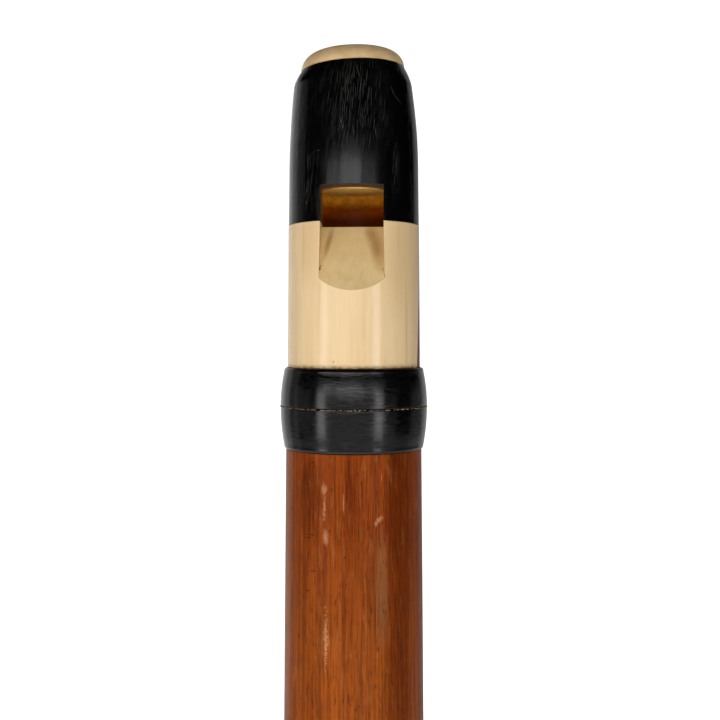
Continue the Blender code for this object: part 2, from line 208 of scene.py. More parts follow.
class PipeFinish(PropertyGroup):
    """Main colours of the pipe's finishes."""

    wood: colour_property("Red wood", "Oiled red wood in the light", 0.27, 0.047, 0.0022)
    wood_grain: colour_property("Wood grain", "Dark grain and pores of the wood", 0.065, 0.0085, 0.0006)
    bare_wood: colour_property("Bore", "Amber wood inside the bore", 0.20, 0.040, 0.0040)
    horn: colour_property("Horn", "Polished black horn", 0.0010, 0.0010, 0.0012)
    horn_scratch: colour_property(
        "Scratched horn", "Grey of scratches and brushing in the horn", 0.075, 0.070, 0.062
    )
    bone: colour_property("Bone", "Polished cream bone", 0.83, 0.61, 0.35)
    bone_stain: colour_property("Stained bone", "Yellowed streaks in the bone", 0.62, 0.40, 0.165)
    cedar: colour_property("Block", "Bare cedar of the block", 0.74, 0.41, 0.095)
    thread: colour_property("Thread", "Waxed thread on the tenon", 0.55, 0.43, 0.25)


class PipeStage(PropertyGroup):
    """Camera, floor and lamps."""

    eye_distance: size_property("Camera distance", "From the camera to the bore's axis", 0.198)
    eye_height: size_property("Camera height", "From the floor to the camera", 0.3467)
    eye_turn: angle_property("Camera turn", "From straight in front towards +X", 2)
    eye_angle: angle_property("Angle of view", "Angle of view of the camera", 38.29)
    floor_size: size_property("Floor", "Length of each side of the floor", 2.2)
    soft_light: light_property("Soft light", "Strength of the lamps that don't show as reflections")
    gloss_light: light_property("Gloss light", "Strength of the panels that show in polished horn and bone")


# ---- modelling ----


def begin(name, first):
    """Starts a piece in edit mode as one corner, which its outline is drawn from."""
    bpy.ops.object.select_all(action="DESELECT")
    bpy.ops.mesh.primitive_plane_add(size=BORE, location=(0, 0, 0), enter_editmode=True)
    piece = bpy.context.object
    piece.name = piece.data.name = name
    bpy.ops.mesh.merge(type="CENTER")
    bpy.ops.transform.translate(value=first)
    return piece


def draw(points):
    """Draws a line on from the selected corner, which is the first of the points."""
    for here, there in zip(points, points[1:]):
        bpy.ops.mesh.extrude_vertices_move(TRANSFORM_OT_translate={"value": Vector(there) - Vector(here)})


def merge_corners():
    """Selects everything, and merges corners that meet."""
    bpy.ops.mesh.select_all(action="SELECT")
    bpy.ops.mesh.remove_doubles(threshold=TINY)


def close_up():
    """Merges corners that meet, turns all faces outwards and leaves edit mode."""
    merge_corners()
    bpy.ops.mesh.normals_make_consistent(inside=False)
    bpy.ops.object.mode_set(mode="OBJECT")


def turn(name, outline, steps=None):
    """A piece turned about Z from (radius, height) points, left open where they start on the axis."""
    points = [(radius, 0.0, height) for radius, height in outline]
    if outline[0][0] > 0:
        points.append(points[0])
    piece = begin(name, points[0])
    draw(points)
    merge_corners()
    steps = steps or bpy.context.scene.pipe_sizes.turning_steps
    bpy.ops.mesh.spin(steps=steps, angle=math.tau, center=(0, 0, 0), axis=(0, 0, 1))
    close_up()
    return piece


def fill(name, outline):
    """Starts a piece in edit mode as one flat face with a closed outline."""
    piece = begin(name, outline[0])
    draw(outline + outline[:1])
    merge_corners()
    bpy.ops.mesh.edge_face_add()
    return piece


def push(way):
    """Pushes the selected faces out."""
    bpy.ops.mesh.extrude_region_move(TRANSFORM_OT_translate={"value": way})


def slab(name, outline, depth):
    """A closed outline of points, filled and pushed out by a depth."""
    piece = fill(name, outline)
    push(depth)
    close_up()
    return piece


def use(piece):
    """Makes a piece the only selected one."""
    bpy.ops.object.select_all(action="DESELECT")
    piece.select_set(True)
    bpy.context.view_layer.objects.active = piece


def settle(piece):
    """Puts a piece's place into its mesh."""
    use(piece)
    bpy.ops.object.transform_apply(location=True, rotation=True, scale=True)


def cut(piece, tool):
    """Takes a tool's shape out of a piece, and puts the tool away."""
    use(piece)
    step = piece.modifiers.new("cut", "BOOLEAN")
    step.operation = "DIFFERENCE"
    step.solver = "EXACT"
    step.object = tool
    bpy.ops.object.modifier_apply(modifier=step.name)
    bpy.data.objects.remove(tool)


def arc(centre, radii, start, end, steps=8):
    """Points along an elliptical arc, between two angles in degrees."""
    points = []
    for step in range(steps + 1):
        angle = math.radians(start + (end - start) * step / steps)
        points.append((centre[0] + radii[0] * math.cos(angle), centre[1] + radii[1] * math.sin(angle)))
    return points


def held(share):
    """A share kept between nothing and all."""
    return min(max(share, 0.0), 1.0)


def askew(piece):
    """Leans the outside of a piece's mouth end, and slants its seam and its face."""
    for corner in piece.data.vertices:
        spot = corner.co
        under_seam = TIP_SEAM - spot.z
        outward = held((math.hypot(spot.x, spot.y) - BORE) / (TIP_RADIUS - BORE))
        rise = SEAM_SLANT * held(1 - under_seam / SHOULDER)
        rise += (FACE_SLANT - SEAM_SLANT) * held(-under_seam / (PIPE_TOP - TIP_SEAM))
        spot.z += rise * spot.x
        spot.x -= MOUTH_LEAN * outward * held(1 - under_seam / LEAN_HEIGHT)


def finish(piece, material, body, slot, *nodes):
    """Smooths a piece, gives it its finish, puts it on its body, and hides the nodes it stands for."""
    use(piece)
    bpy.ops.object.shade_smooth_by_angle(angle=SHARP)
    piece.data.materials.clear()
    piece.data.materials.append(bpy.data.materials[material])
    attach(piece, body)
    if nodes:
        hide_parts(*nodes)


def body_radius(height):
    """Outside radius of the wooden body, which swells towards the foot."""
    share = (BODY_SHOULDER - height) / (BODY_SHOULDER - FERRULE_TOP)
    return BODY_TOP_RADIUS + (reach("body_tube") - BODY_TOP_RADIUS) * math.sin(share * math.pi / 2)


def bone_radius(height):
    """Outside radius of the bone and of the wood behind it."""
    return BONE_TOP + (BONE_FOOT - BONE_TOP) * (HORN_SEAM - height) / (HORN_SEAM - BONE_SEAM)


def barrel(crown, fall, rim, mouth, end, steps=10):
    """Outer points of a ring, fullest at its mouth and rounded into its rim."""
    edge = end - math.copysign(RING_EDGE, end - mouth)
    points = []
    for step in range(steps + 1):
        share = step / steps
        points.append((crown - fall * share**2, mouth + (edge - mouth) * share))
    return points + arc((rim, edge), (crown - fall - rim, end - edge), 0, 90, 10)[1:]


def joint_ring(name, mouth, end, rim):
    """A horn ring of the joint, with a finely eased mouth."""
    crown = reach("upper_horn_ring")
    seat = RING_SEAT + GLUE_GAP
    away = math.copysign(RING_EASE, end - mouth)
    outline = arc((crown - RING_EASE, mouth + away), (RING_EASE, -away), 90, 0, 4)[:-1]
    outline += barrel(crown, bpy.context.scene.pipe_sizes.ring_barrel, rim, mouth + away, end)
    outline += [(seat, end), (seat, mouth)]
    return turn(name, outline)


def window_tool():
    """The window's shape, with the undercut that thins the labium from below."""
    half = bpy.context.scene.pipe_sizes.window_width / 2
    front, land = -BONE_FOOT - MARGIN, LABIUM_LAND - LABIUM_RADIUS
    outline = [
        (-half, front, WINDOW_ROOF),
        (-half, front, LABIUM),
        (-half, land, LABIUM),
        (-half, 0.0, LABIUM - LABIUM_UNDERCUT),
        (-half, 0.0, WINDOW_ROOF),
    ]
    return slab("window_tool", outline, (2 * half, 0, 0))


def ramp_edge(height, columns=48):
    """The ramp's surface at a height: straight at the labium, and more crowned further down."""
    sizes = bpy.context.scene.pipe_sizes
    share = (LABIUM - height) / sizes.ramp_length
    outside = bone_radius(LABIUM - sizes.ramp_length)
    line = []
    for column in range(columns + 1):
        across = 2 * column / columns - 1
        depth = outside - LABIUM_RADIUS - sizes.ramp_crown * across**2
        x = across * (sizes.window_width / 2 + sizes.ramp_flare * share)
        line.append((x, -LABIUM_RADIUS - depth * share, height))
    return line


def ramp_tool():
    """The ramp's shape, open to the front."""
    ends = []
    for height in (LABIUM + RAMP_OVERRUN, LABIUM - bpy.context.scene.pipe_sizes.ramp_length - MARGIN):
        line = ramp_edge(height)
        ends.append(begin("ramp_tool", line[0]))
        draw(line)
        bpy.ops.object.mode_set(mode="OBJECT")
    top, foot = ends
    use(top)
    foot.select_set(True)
    bpy.ops.object.join()
    bpy.ops.object.mode_set(mode="EDIT")
    bpy.ops.mesh.select_all(action="SELECT")
    bpy.ops.mesh.bridge_edge_loops()
    bpy.ops.mesh.select_all(action="SELECT")
    push((0, -BONE_FOOT, 0))
    close_up()
    return top


def windway_tool():
    """The arched slot over the block, a little higher where the breath enters."""
    half = bpy.context.scene.pipe_sizes.window_width / 2 - WINDWAY_INSET
    roof, entry = BORE + WINDWAY_EXIT, BORE + WINDWAY_ENTRY
    turned = math.degrees(math.asin(half / roof))
    foot = WINDOW_ROOF - MARGIN / 2
    edge = arc((0, 0), (roof, roof), -90 - turned, -90 + turned, 40)
    outline = [(x, y, foot) for x, y in edge] + [(half, -BORE / 2, foot), (-half, -BORE / 2, foot)]
    piece = fill("windway_tool", outline)
    rise = PIPE_TOP + MARGIN - foot
    push((0, 0, rise))
    bpy.ops.transform.resize(value=(1, entry / roof, 1), center_override=(0, 0, foot + rise))
    close_up()
    return piece


def joint_tool(name, foot, top, side, gap):
    """Everything before the slanted joint of bone and wood, with side -1, or behind it, with side 1."""
    wide = BONE_FOOT + MARGIN
    middle = JOINT_MIDDLE - wide * JOINT_TURN - gap
    lows = [middle + (height - (BONE_SEAM + HORN_SEAM) / 2) * JOINT_LEAN for height in (foot, top)]
    outline = [
        (-wide, lows[0], foot),
        (-wide, 2 * side * wide, foot),
        (-wide, 2 * side * wide, top),
        (-wide, lows[1], top),
    ]
    return slab(name, outline, (2 * wide, 2 * wide * JOINT_TURN, 0))


def hole_tool(height, side):
    """A finger hole from the bore out, undercut inside, with a rounded rim. In front, side is -1."""
    wall = body_radius(height)
    hole = bpy.context.scene.pipe_sizes.hole_diameter / 2
    rim = wall - 2 * HOLE_EASE
    outline = [
        (0.0, BORE / 3),
        (hole + HOLE_UNDERCUT, BORE / 3),
        (hole, BORE + (wall - BORE) / 3),
        (hole, rim),
    ]
    outline += arc((hole + HOLE_EASE, rim), (-HOLE_EASE, 2 * HOLE_EASE), 0, 70, 8)[1:]
    outline += [(outline[-1][0] + HOLE_EASE, wall + MARGIN), (0.0, wall + MARGIN)]
    tool = turn("hole_tool", outline, 64)
    tool.rotation_euler.x = math.radians(-90 * side)
    tool.location.z = height
    settle(tool)
    return tool


# ---- finishes ----


FLOAT, VECTOR = "NodeSocketFloat", "NodeSocketVector"


def give(tree, feeds, inputs):
    """Gives inputs their values, or links them to the sockets that feed them."""
    for key, value in feeds.items():
        if isinstance(value, bpy.types.NodeSocket):
            tree.links.new(value, inputs[key])
        else:
            inputs[key].default_value = value


def add_node(tree, kind, feeds=None, **settings):
    """Adds a node with its settings and what feeds it."""
    made = tree.nodes.new(kind)
    for key, value in settings.items():
        setattr(made, key, value)
    give(tree, feeds or {}, made.inputs)
    return made


def calc(tree, operation, first, second=0.0, third=0.0):
    """A Math node's result."""
    feeds = {0: first, 1: second, 2: third}
    return add_node(tree, "ShaderNodeMath", feeds, operation=operation).outputs[0]


def times(tree, first, second):
    """The product of two values."""
    return calc(tree, "MULTIPLY", first, second)


def rest(tree, share):
    """What a share leaves of the whole."""
    return calc(tree, "SUBTRACT", 1.0, share)


def remap(tree, value, start, end, to_start=0.0, to_end=1.0):
    """A value eased from one range into another."""
    feeds = {0: value, 1: start, 2: end, 3: to_start, 4: to_end}
    return add_node(tree, "ShaderNodeMapRange", feeds, interpolation_type="SMOOTHSTEP").outputs[0]


def opaque(colour):
    """A plain colour with its alpha, or a socket as it is."""
    return colour if isinstance(colour, bpy.types.NodeSocket) else (*colour, 1.0)


def blend(tree, share, under, over):
    """One colour laid over another by a share."""
    feeds = {0: share, 6: opaque(under), 7: opaque(over)}
    return add_node(tree, "ShaderNodeMix", feeds, data_type="RGBA").outputs[2]


def stain(tree, colour, mask, share, over):
    """A colour with another laid over it where a mask shows, and by a share of the mask."""
    return blend(tree, times(tree, mask, share), colour, over)


def new_group(name, inputs, outputs):
    """A shader group with named inputs and outputs."""
    tree = bpy.data.node_groups.new(name, "ShaderNodeTree")
    for label, kind, default in inputs:
        socket = tree.interface.new_socket(label, in_out="INPUT", socket_type=kind)
        if default is not None:
            socket.default_value = default
    for label, kind in outputs:
        tree.interface.new_socket(label, in_out="OUTPUT", socket_type=kind)
    given = tree.nodes.new("NodeGroupInput")
    wanted = tree.nodes.new("NodeGroupOutput")
    return tree, given.outputs, wanted.inputs


def use_group(tree, name, **feeds):
    """Places a group, with its inputs written with underscores for spaces."""
    made = add_node(tree, "ShaderNodeGroup", node_tree=bpy.data.node_groups[name])
    give(tree, {key.replace("_", " "): value for key, value in feeds.items()}, made.inputs)
    return made.outputs


def make_place_group():
    """Where a point lies on the pipe, in millimetres and degrees from the front."""
    outputs = [("Position", VECTOR), ("Angle", FLOAT), ("Height", FLOAT), ("Radius", FLOAT)]
    tree, _, wanted = new_group("place_on_pipe", [], outputs)
    coords = add_node(tree, "ShaderNodeTexCoord").outputs["Object"]
    position = add_node(tree, "ShaderNodeVectorMath", {0: coords, "Scale": MM}, operation="SCALE").outputs[0]
    parts = add_node(tree, "ShaderNodeSeparateXYZ", {0: position}).outputs
    front = times(tree, parts[1], -1.0)
    angle = calc(tree, "DEGREES", calc(tree, "ARCTAN2", parts[0], front))
    squares = [calc(tree, "POWER", part, 2.0) for part in parts[:2]]
    radius = calc(tree, "SQRT", calc(tree, "ADD", *squares))
    give(tree, {"Position": position, "Angle": angle, "Height": parts[2], "Radius": radius}, wanted)


STRETCH = [("Position", VECTOR, None), ("Across", FLOAT, 1.0), ("Along", FLOAT, 0.05)]


def stretched_noise(tree, given, detail, roughness):
    """Noise drawn out along or across the pipe."""
    feeds = {0: given["Across"], 1: given["Across"], 2: given["Along"]}
    scale = add_node(tree, "ShaderNodeCombineXYZ", feeds).outputs[0]
    drawn = add_node(tree, "ShaderNodeVectorMath", {0: given["Position"], 1: scale}, operation="MULTIPLY")
    feeds = {"Vector": drawn.outputs[0], "Scale": 1.0, "Detail": detail, "Roughness": roughness}
    return add_node(tree, "ShaderNodeTexNoise", feeds).outputs[0]


def make_streaks_group():
    """Soft streaks, as in grain, brushing and stains."""
    inputs = STRETCH + [("Low", FLOAT, 0.4), ("High", FLOAT, 0.6)]
    tree, given, wanted = new_group("streaks", inputs, [("Mask", FLOAT)])
    noise = stretched_noise(tree, given, 4.0, 0.6)
    tree.links.new(remap(tree, noise, given["Low"], given["High"]), wanted["Mask"])


def streaks(tree, place, across, along, low, high):
    """A mask of streaks: how fine across and along the pipe, and where it starts and is full."""
    return use_group(
        tree, "streaks", Position=place["Position"], Across=across, Along=along, Low=low, High=high
    )[0]


def make_scratches_group():
    """Fine lines, which come and go in patches."""
    inputs = STRETCH + [("Width", FLOAT, 0.01), ("Sparse", FLOAT, 0.5)]
    tree, given, wanted = new_group("scratches", inputs, [("Mask", FLOAT)])
    noise = stretched_noise(tree, given, 1.0, 0.5)
    off = calc(tree, "ABSOLUTE", calc(tree, "SUBTRACT", noise, 0.5))
    line = rest(tree, remap(tree, off, 0.0, given["Width"]))
    patch = add_node(tree, "ShaderNodeTexNoise", {"Vector": given["Position"], "Scale": 0.45, "Detail": 2.0})
    here = remap(tree, patch.outputs[0], given["Sparse"], calc(tree, "ADD", given["Sparse"], 0.12))
    tree.links.new(times(tree, line, here), wanted["Mask"])


def scratches(tree, place, across, along, width, sparse):
    """A mask of fine lines: how fine across and along the pipe, how wide, and how rare."""
    return use_group(
        tree, "scratches", Position=place["Position"], Across=across, Along=along, Width=width, Sparse=sparse
    )[0]


def make_hairlines_group():
    """Straight scratches: thin columns round the pipe, broken into lengths of which a share shows."""
    inputs = [
        ("Columns", FLOAT, 3.0), ("Lengths", FLOAT, 0.4), ("Lean", FLOAT, 0.0), ("Share", FLOAT, 0.5),
        ("Width", FLOAT, 0.3),
    ]
    tree, given, wanted = new_group("hairlines", inputs, [("Mask", FLOAT)])
    place = use_group(tree, "place_on_pipe")
    round_way = times(tree, calc(tree, "RADIANS", place["Angle"]), 12.0)
    across = calc(tree, "MULTIPLY_ADD", place["Height"], given["Lean"], round_way)
    across = times(tree, across, given["Columns"])
    column = calc(tree, "FLOOR", across)
    own = add_node(tree, "ShaderNodeTexWhiteNoise", {"W": column}, noise_dimensions="1D").outputs[0]
    along = times(tree, place["Height"], given["Lengths"])
    along = times(tree, along, calc(tree, "MULTIPLY_ADD", own, 0.8, 0.6))
    along = calc(tree, "MULTIPLY_ADD", own, 37.0, along)
    cell = add_node(tree, "ShaderNodeCombineXYZ", {0: column, 1: calc(tree, "FLOOR", along)}).outputs[0]
    chance = add_node(tree, "ShaderNodeTexWhiteNoise", {"Vector": cell}, noise_dimensions="3D").outputs[0]
    there = remap(tree, chance, rest(tree, given["Share"]), 1.0)
    off = calc(tree, "ABSOLUTE", calc(tree, "SUBTRACT", calc(tree, "FRACT", across), 0.5))
    half = times(tree, given["Width"], 0.5)
    line = rest(tree, remap(tree, off, times(tree, half, 0.4), half))
    part = calc(tree, "FRACT", along)
    ends = calc(tree, "MINIMUM", part, rest(tree, part))
    shown = times(tree, times(tree, there, line), remap(tree, ends, 0.0, 0.25))
    tree.links.new(shown, wanted["Mask"])


def make_mark_group():
    """One mark at a place: a leaning oval with a more or less ragged edge."""
    inputs = [
        ("At Angle", FLOAT, 0.0), ("At Height", FLOAT, 0.0), ("Half Width", FLOAT, 0.5),
        ("Half Length", FLOAT, 1.0), ("Lean", FLOAT, 0.0), ("Ragged", FLOAT, 0.3), ("Soft", FLOAT, 0.3),
    ]
    tree, given, wanted = new_group("mark", inputs, [("Mask", FLOAT)])
    place = use_group(tree, "place_on_pipe")
    turned = calc(tree, "RADIANS", calc(tree, "SUBTRACT", place["Angle"], given["At Angle"]))
    across = times(tree, turned, place["Radius"])
    along = calc(tree, "SUBTRACT", place["Height"], given["At Height"])
    across = calc(tree, "SUBTRACT", across, times(tree, along, given["Lean"]))
    wide = calc(tree, "POWER", calc(tree, "DIVIDE", across, given["Half Width"]), 2.0)
    long = calc(tree, "POWER", calc(tree, "DIVIDE", along, given["Half Length"]), 2.0)
    off = calc(tree, "SQRT", calc(tree, "ADD", wide, long))
    noise = add_node(tree, "ShaderNodeTexNoise", {"Vector": place["Position"], "Scale": 2.2, "Detail": 3.0})
    rough = times(tree, calc(tree, "SUBTRACT", noise.outputs[0], 0.5), given["Ragged"])
    off = calc(tree, "MULTIPLY_ADD", rough, 4.0, off)
    inner = rest(tree, given["Soft"])
    outer = calc(tree, "ADD", 1.0, given["Soft"])
    mask = rest(tree, remap(tree, off, inner, outer))
    tree.links.new(mask, wanted["Mask"])


def marks(tree, rows):
    """All of a kind of mark, from rows of angle, height, half width, half length, lean, ragged and soft."""
    found = None
    for angle, height, wide, long, lean, ragged, soft in rows:
        mask = use_group(
            tree, "mark", At_Angle=angle, At_Height=height, Half_Width=wide, Half_Length=long, Lean=lean,
            Ragged=ragged, Soft=soft
        )[0]
        found = mask if found is None else calc(tree, "MAXIMUM", found, mask)
    return found


def new_material(name):
    """An empty finish with its shader, and where its points lie."""
    made = bpy.data.materials.new(name)
    made.use_nodes = True
    tree = made.node_tree
    return tree, tree.nodes["Principled BSDF"], use_group(tree, "place_on_pipe")


RELIEF_STRENGTH = 0.6


def coat(tree, shader, colour, rough, relief, depth):
    """Gives a finish its colour, its roughness and a fine relief."""
    feeds = {"Height": relief, "Distance": depth, "Strength": RELIEF_STRENGTH}
    raised = add_node(tree, "ShaderNodeBump", feeds)
    feeds = {"Base Color": colour, "Roughness": rough, "Normal": raised.outputs[0]}
    give(tree, feeds, shader.inputs)


# Rows for marks(), from what the picture shows: the angle in degrees, and lengths in millimetres
HORN_SCRATCHES = [
    (-7.6, 391.2, 0.05, 0.16, -0.1, 0.2, 0.5),
    (-9.0, 385.3, 0.05, 0.55, -0.1, 0.3, 0.5),
    (-7.4, 384.2, 0.05, 0.30, -0.1, 0.2, 0.5),
    (5.7, 394.6, 0.04, 1.25, -0.30, 0.1, 0.5),
    (40.2, 391.3, 0.04, 0.8, -0.5, 0.1, 0.5),
    (46.0, 389.9, 0.05, 1.0, -1.2, 0.1, 0.5),
    (-37.6, 379.5, 0.04, 0.6, 0.9, 0.1, 0.5),
    (-29.6, 380.2, 0.30, 0.05, 0.2, 0.3, 0.5),
    (1.5, 383.6, 0.03, 0.8, -0.12, 0.1, 0.5),
    (21.0, 383.2, 0.03, 1.0, -0.14, 0.1, 0.5),
    (-41.5, 373.2, 0.05, 0.4, 0.1, 0.4, 0.5),
    (-42.5, 371.0, 0.05, 0.3, -0.2, 0.4, 0.5),
]
HORN_WORN = [
    (4.0, 389.5, 5.4, 9.0, -0.08, 0.05, 0.85),
    (-40.0, 375.5, 1.2, 4.5, 0.0, 0.2, 0.8),
    (40.0, 377.0, 0.9, 5.0, 0.0, 0.2, 0.8),
    (-150.0, 385.0, 7.0, 9.0, 0.0, 0.5, 0.7),
    (110.0, 382.0, 6.0, 9.0, 0.0, 0.5, 0.7),
]
HORN_DUST = (0.030, 0.022, 0.016), (0.090, 0.066, 0.046)


def make_horn(name, stuffs, around):
    """Black horn, scratched lengthwise, or brushed round where it was turned and worn by the hand."""
    tree, shader, place = new_material(name)
    if around:
        fine = streaks(tree, place, 0.55, 5.5, 0.44, 0.72)
        lines = scratches(tree, place, 0.16, 3.2, 0.02, 0.50)
        haze = streaks(tree, place, 0.30, 0.7, 0.35, 0.75)
        shown = calc(tree, "MULTIPLY_ADD", lines, 0.15, times(tree, fine, 0.13))
    else:
        fine = use_group(tree, "hairlines", Columns=5.2, Lengths=0.28, Lean=-0.07, Share=0.85, Width=0.80)[0]
        lines = use_group(tree, "hairlines", Columns=2.9, Lengths=0.26, Lean=-0.15, Share=0.50, Width=0.28)[0]
        haze = streaks(tree, place, 0.6, 0.16, 0.35, 0.75)
        worn = calc(tree, "MULTIPLY_ADD", marks(tree, HORN_WORN), 0.93, 0.07)
        both = calc(tree, "MAXIMUM", times(tree, fine, 0.42), times(tree, lines, 0.80))
        shown = calc(tree, "MAXIMUM", times(tree, both, worn), marks(tree, HORN_SCRATCHES))
    colour = stain(tree, stuffs.horn, shown, 0.75, stuffs.horn_scratch)
    rough = calc(tree, "MULTIPLY_ADD", haze, 0.05, 0.13)
    rough = calc(tree, "MULTIPLY_ADD", shown, 0.12, rough)
    if not around:
        # The cut faces inside the window are dusty
        wall = calc(tree, "SUBTRACT", reach("horn_mouthpiece") * MM - 0.16, place["Radius"])
        above = remap(tree, place["Height"], (WINDOW_ROOF + 0.0003) * MM, (WINDOW_ROOF + 0.0004) * MM)
        inside = times(tree, remap(tree, wall, 0.0, 0.06), rest(tree, above))
        dust = blend(tree, streaks(tree, place, 2.5, 2.5, 0.35, 0.7), *HORN_DUST)
        colour = blend(tree, inside, colour, dust)
        rough = calc(tree, "MULTIPLY_ADD", inside, 0.45, rough)
    coat(tree, shader, colour, rough, calc(tree, "MAXIMUM", fine, lines), 0.00001)


BONE_PORES = [
    (-66.3, 350.8, 0.10, 0.12, 0.0, 0.2, 0.5),
    (-66.0, 349.8, 0.08, 0.10, 0.0, 0.2, 0.5),
    (-66.5, 347.1, 0.10, 0.13, 0.0, 0.2, 0.5),
    (-66.2, 344.6, 0.09, 0.11, 0.0, 0.2, 0.5),
    (-66.4, 343.5, 0.10, 0.12, 0.0, 0.2, 0.5),
    (-66.1, 342.5, 0.08, 0.10, 0.0, 0.2, 0.5),
    (-66.3, 341.6, 0.10, 0.12, 0.0, 0.2, 0.5),
    (-14.9, 342.0, 0.12, 0.18, 0.3, 0.3, 0.5),
]
BONE_STREAKS = [
    (-45.3, 363.0, 0.45, 6.0, 0.0, 0.15, 0.9),
    (42.6, 363.5, 0.45, 6.0, 0.0, 0.15, 0.9),
    (52.0, 351.0, 0.30, 12.0, 0.0, 0.15, 0.9),
]
BONE_TONES = [
    (-38.0, 363.0, 2.6, 6.0, 0.0, 0.1, 0.8),
    (42.0, 361.0, 3.4, 9.0, 0.0, 0.1, 0.8),
    (75.0, 354.0, 3.0, 20.0, 0.0, 0.1, 0.8),
]
RAMP_STAINS = [
    (27.0, 363.0, 0.9, 3.2, 0.05, 0.12, 0.9),
    (25.5, 365.0, 0.9, 1.6, 0.0, 0.15, 0.9),
    (-28.0, 363.8, 0.4, 2.2, 0.0, 0.12, 0.9),
]
RAMP_CRUST = [
    (-29.6, 359.0, 0.12, 0.35, 0.1, 1.0, 0.4),
    (-30.2, 357.6, 0.10, 0.30, 0.0, 1.2, 0.4),
    (28.6, 358.6, 0.12, 0.45, 0.0, 1.0, 0.4),
    (29.0, 357.4, 0.08, 0.20, 0.0, 1.2, 0.4),
]
BONE_DARK = (0.16, 0.095, 0.045)
BONE_GRIME = (0.12, 0.060, 0.020)
RAMP_COLOURS = (0.86, 0.62, 0.295), (0.80, 0.56, 0.245)
# Painted shade for the ramp's upper part, deep in the slot near the labium
RAMP_PAINTED_SHADE = (0.70, 0.46, 0.190)
RAMP_STAIN = (0.36, 0.16, 0.030)
CRUST = (0.10, 0.045, 0.015)


def make_bone(name, stuffs):
    """Polished bone with streaks and pores, and a matt stained ramp cut into it."""
    tree, shader, place = new_material(name)
    height = place["Height"]
    broad = streaks(tree, place, 0.30, 0.03, 0.40, 0.72)
    fine = streaks(tree, place, 2.2, 0.10, 0.40, 0.75)
    pores = scratches(tree, place, 4.0, 0.9, 0.006, 0.56)
    yellow = calc(tree, "ADD", times(tree, broad, 0.35), times(tree, fine, 0.14))
    yellow = calc(tree, "MAXIMUM", yellow, times(tree, marks(tree, BONE_STREAKS), 0.55))
    yellow = calc(tree, "MAXIMUM", yellow, times(tree, marks(tree, BONE_TONES), 0.40))
    foot = remap(tree, height, (BONE_SEAM + 0.0013) * MM, BONE_SEAM * MM, 0.0, 0.9)
    yellow = calc(tree, "MAXIMUM", yellow, foot)
    colour = blend(tree, yellow, stuffs.bone, stuffs.bone_stain)
    dark = calc(tree, "MAXIMUM", times(tree, pores, 0.35), marks(tree, BONE_PORES))
    colour = stain(tree, colour, dark, 0.75, BONE_DARK)
    near = remap(tree, height, (BONE_SEAM + 0.0009) * MM, BONE_SEAM * MM, 0.0, 0.9)
    colour = stain(tree, colour, streaks(tree, place, 0.9, 1.2, 0.36, 0.62), near, BONE_GRIME)

    # The ramp is what lies deeper than the bone's outside
    fall = (BONE_FOOT - BONE_TOP) / (HORN_SEAM - BONE_SEAM)
    outside = calc(tree, "MULTIPLY_ADD", height, -fall, (BONE_TOP + fall * HORN_SEAM) * MM)
    sunk = remap(tree, calc(tree, "SUBTRACT", outside, place["Radius"]), 0.03, 0.16)
    ramp = blend(tree, streaks(tree, place, 0.8, 0.5, 0.35, 0.7), *RAMP_COLOURS)
    # Darker towards the labium, deep in the slot: painted shade
    ramp = blend(tree, remap(tree, height, 358.5, 365.5, 0.0, 0.45), ramp, RAMP_PAINTED_SHADE)
    ramp = stain(tree, ramp, marks(tree, RAMP_STAINS), 0.7, RAMP_STAIN)
    ramp = stain(tree, ramp, marks(tree, RAMP_CRUST), 0.85, CRUST)
    colour = blend(tree, sunk, colour, ramp)
    rough = calc(tree, "MULTIPLY_ADD", sunk, 0.38, 0.13)
    rough = calc(tree, "MULTIPLY_ADD", fine, 0.06, rough)
    coat(tree, shader, colour, rough, rest(tree, dark), 0.00003)


def make_turned_bone(name, stuffs):
    """Bone of the mouth end and of the foot, mellowed by the lips and the hand."""
    tree, shader, place = new_material(name)
    broad = streaks(tree, place, 0.5, 0.5, 0.35, 0.7)
    fine = streaks(tree, place, 0.3, 3.0, 0.4, 0.75)
    yellow = calc(tree, "ADD", times(tree, broad, 0.4), calc(tree, "MULTIPLY_ADD", fine, 0.2, 0.35))
    colour = blend(tree, yellow, stuffs.bone, stuffs.bone_stain)
    coat(tree, shader, colour, calc(tree, "MULTIPLY_ADD", fine, 0.08, 0.28), fine, 0.00001)


WOOD_SCUFFS = [
    (-22.3, 319.0, 0.42, 0.9, 0.05, 0.5, 0.9),
    (-21.0, 310.4, 0.42, 1.0, -0.05, 0.5, 0.9),
    (-22.0, 315.6, 0.20, 1.6, 0.05, 0.9, 0.9),
    (-6.2, 316.8, 0.08, 1.4, 0.0, 0.3, 0.5),
    (24.7, 321.2, 0.05, 0.7, 0.1, 0.2, 0.5),
    (22.1, 313.5, 0.45, 0.6, 0.6, 0.9, 0.9),
    (-20.5, 292.0, 0.30, 3.5, 0.0, 1.2, 0.8),
]
WOOD_KNOTS = [
    (22.0, 313.1, 0.24, 0.26, 0.3, 0.8, 0.5),
    (-43.3, 303.0, 0.05, 12.0, 0.0, 0.1, 0.5),
    (-18.0, 314.0, 0.04, 6.0, 0.0, 0.1, 0.5),
    (19.2, 297.0, 0.06, 3.6, 0.0, 0.3, 0.5),
    (-33.0, 323.8, 0.40, 0.09, 0.0, 0.8, 0.5),
    (-38.0, 319.8, 0.30, 0.12, 0.0, 0.8, 0.5),
    (-34.5, 310.7, 0.70, 0.11, 0.0, 0.9, 0.5),
    (-37.0, 310.1, 0.40, 0.10, 0.0, 0.8, 0.5),
    (-32.0, 304.2, 0.60, 0.10, 0.0, 0.8, 0.5),
    (-38.0, 300.5, 0.30, 0.10, 0.0, 0.8, 0.5),
]
WOOD_RED = [
    (42.0, 310.0, 2.6, 40.0, 0.0, 0.1, 0.35),
    (-0.5, 318.0, 0.9, 6.0, 0.0, 0.2, 0.7),
    (-38.0, 318.0, 2.6, 6.0, 0.0, 0.1, 0.7),
]
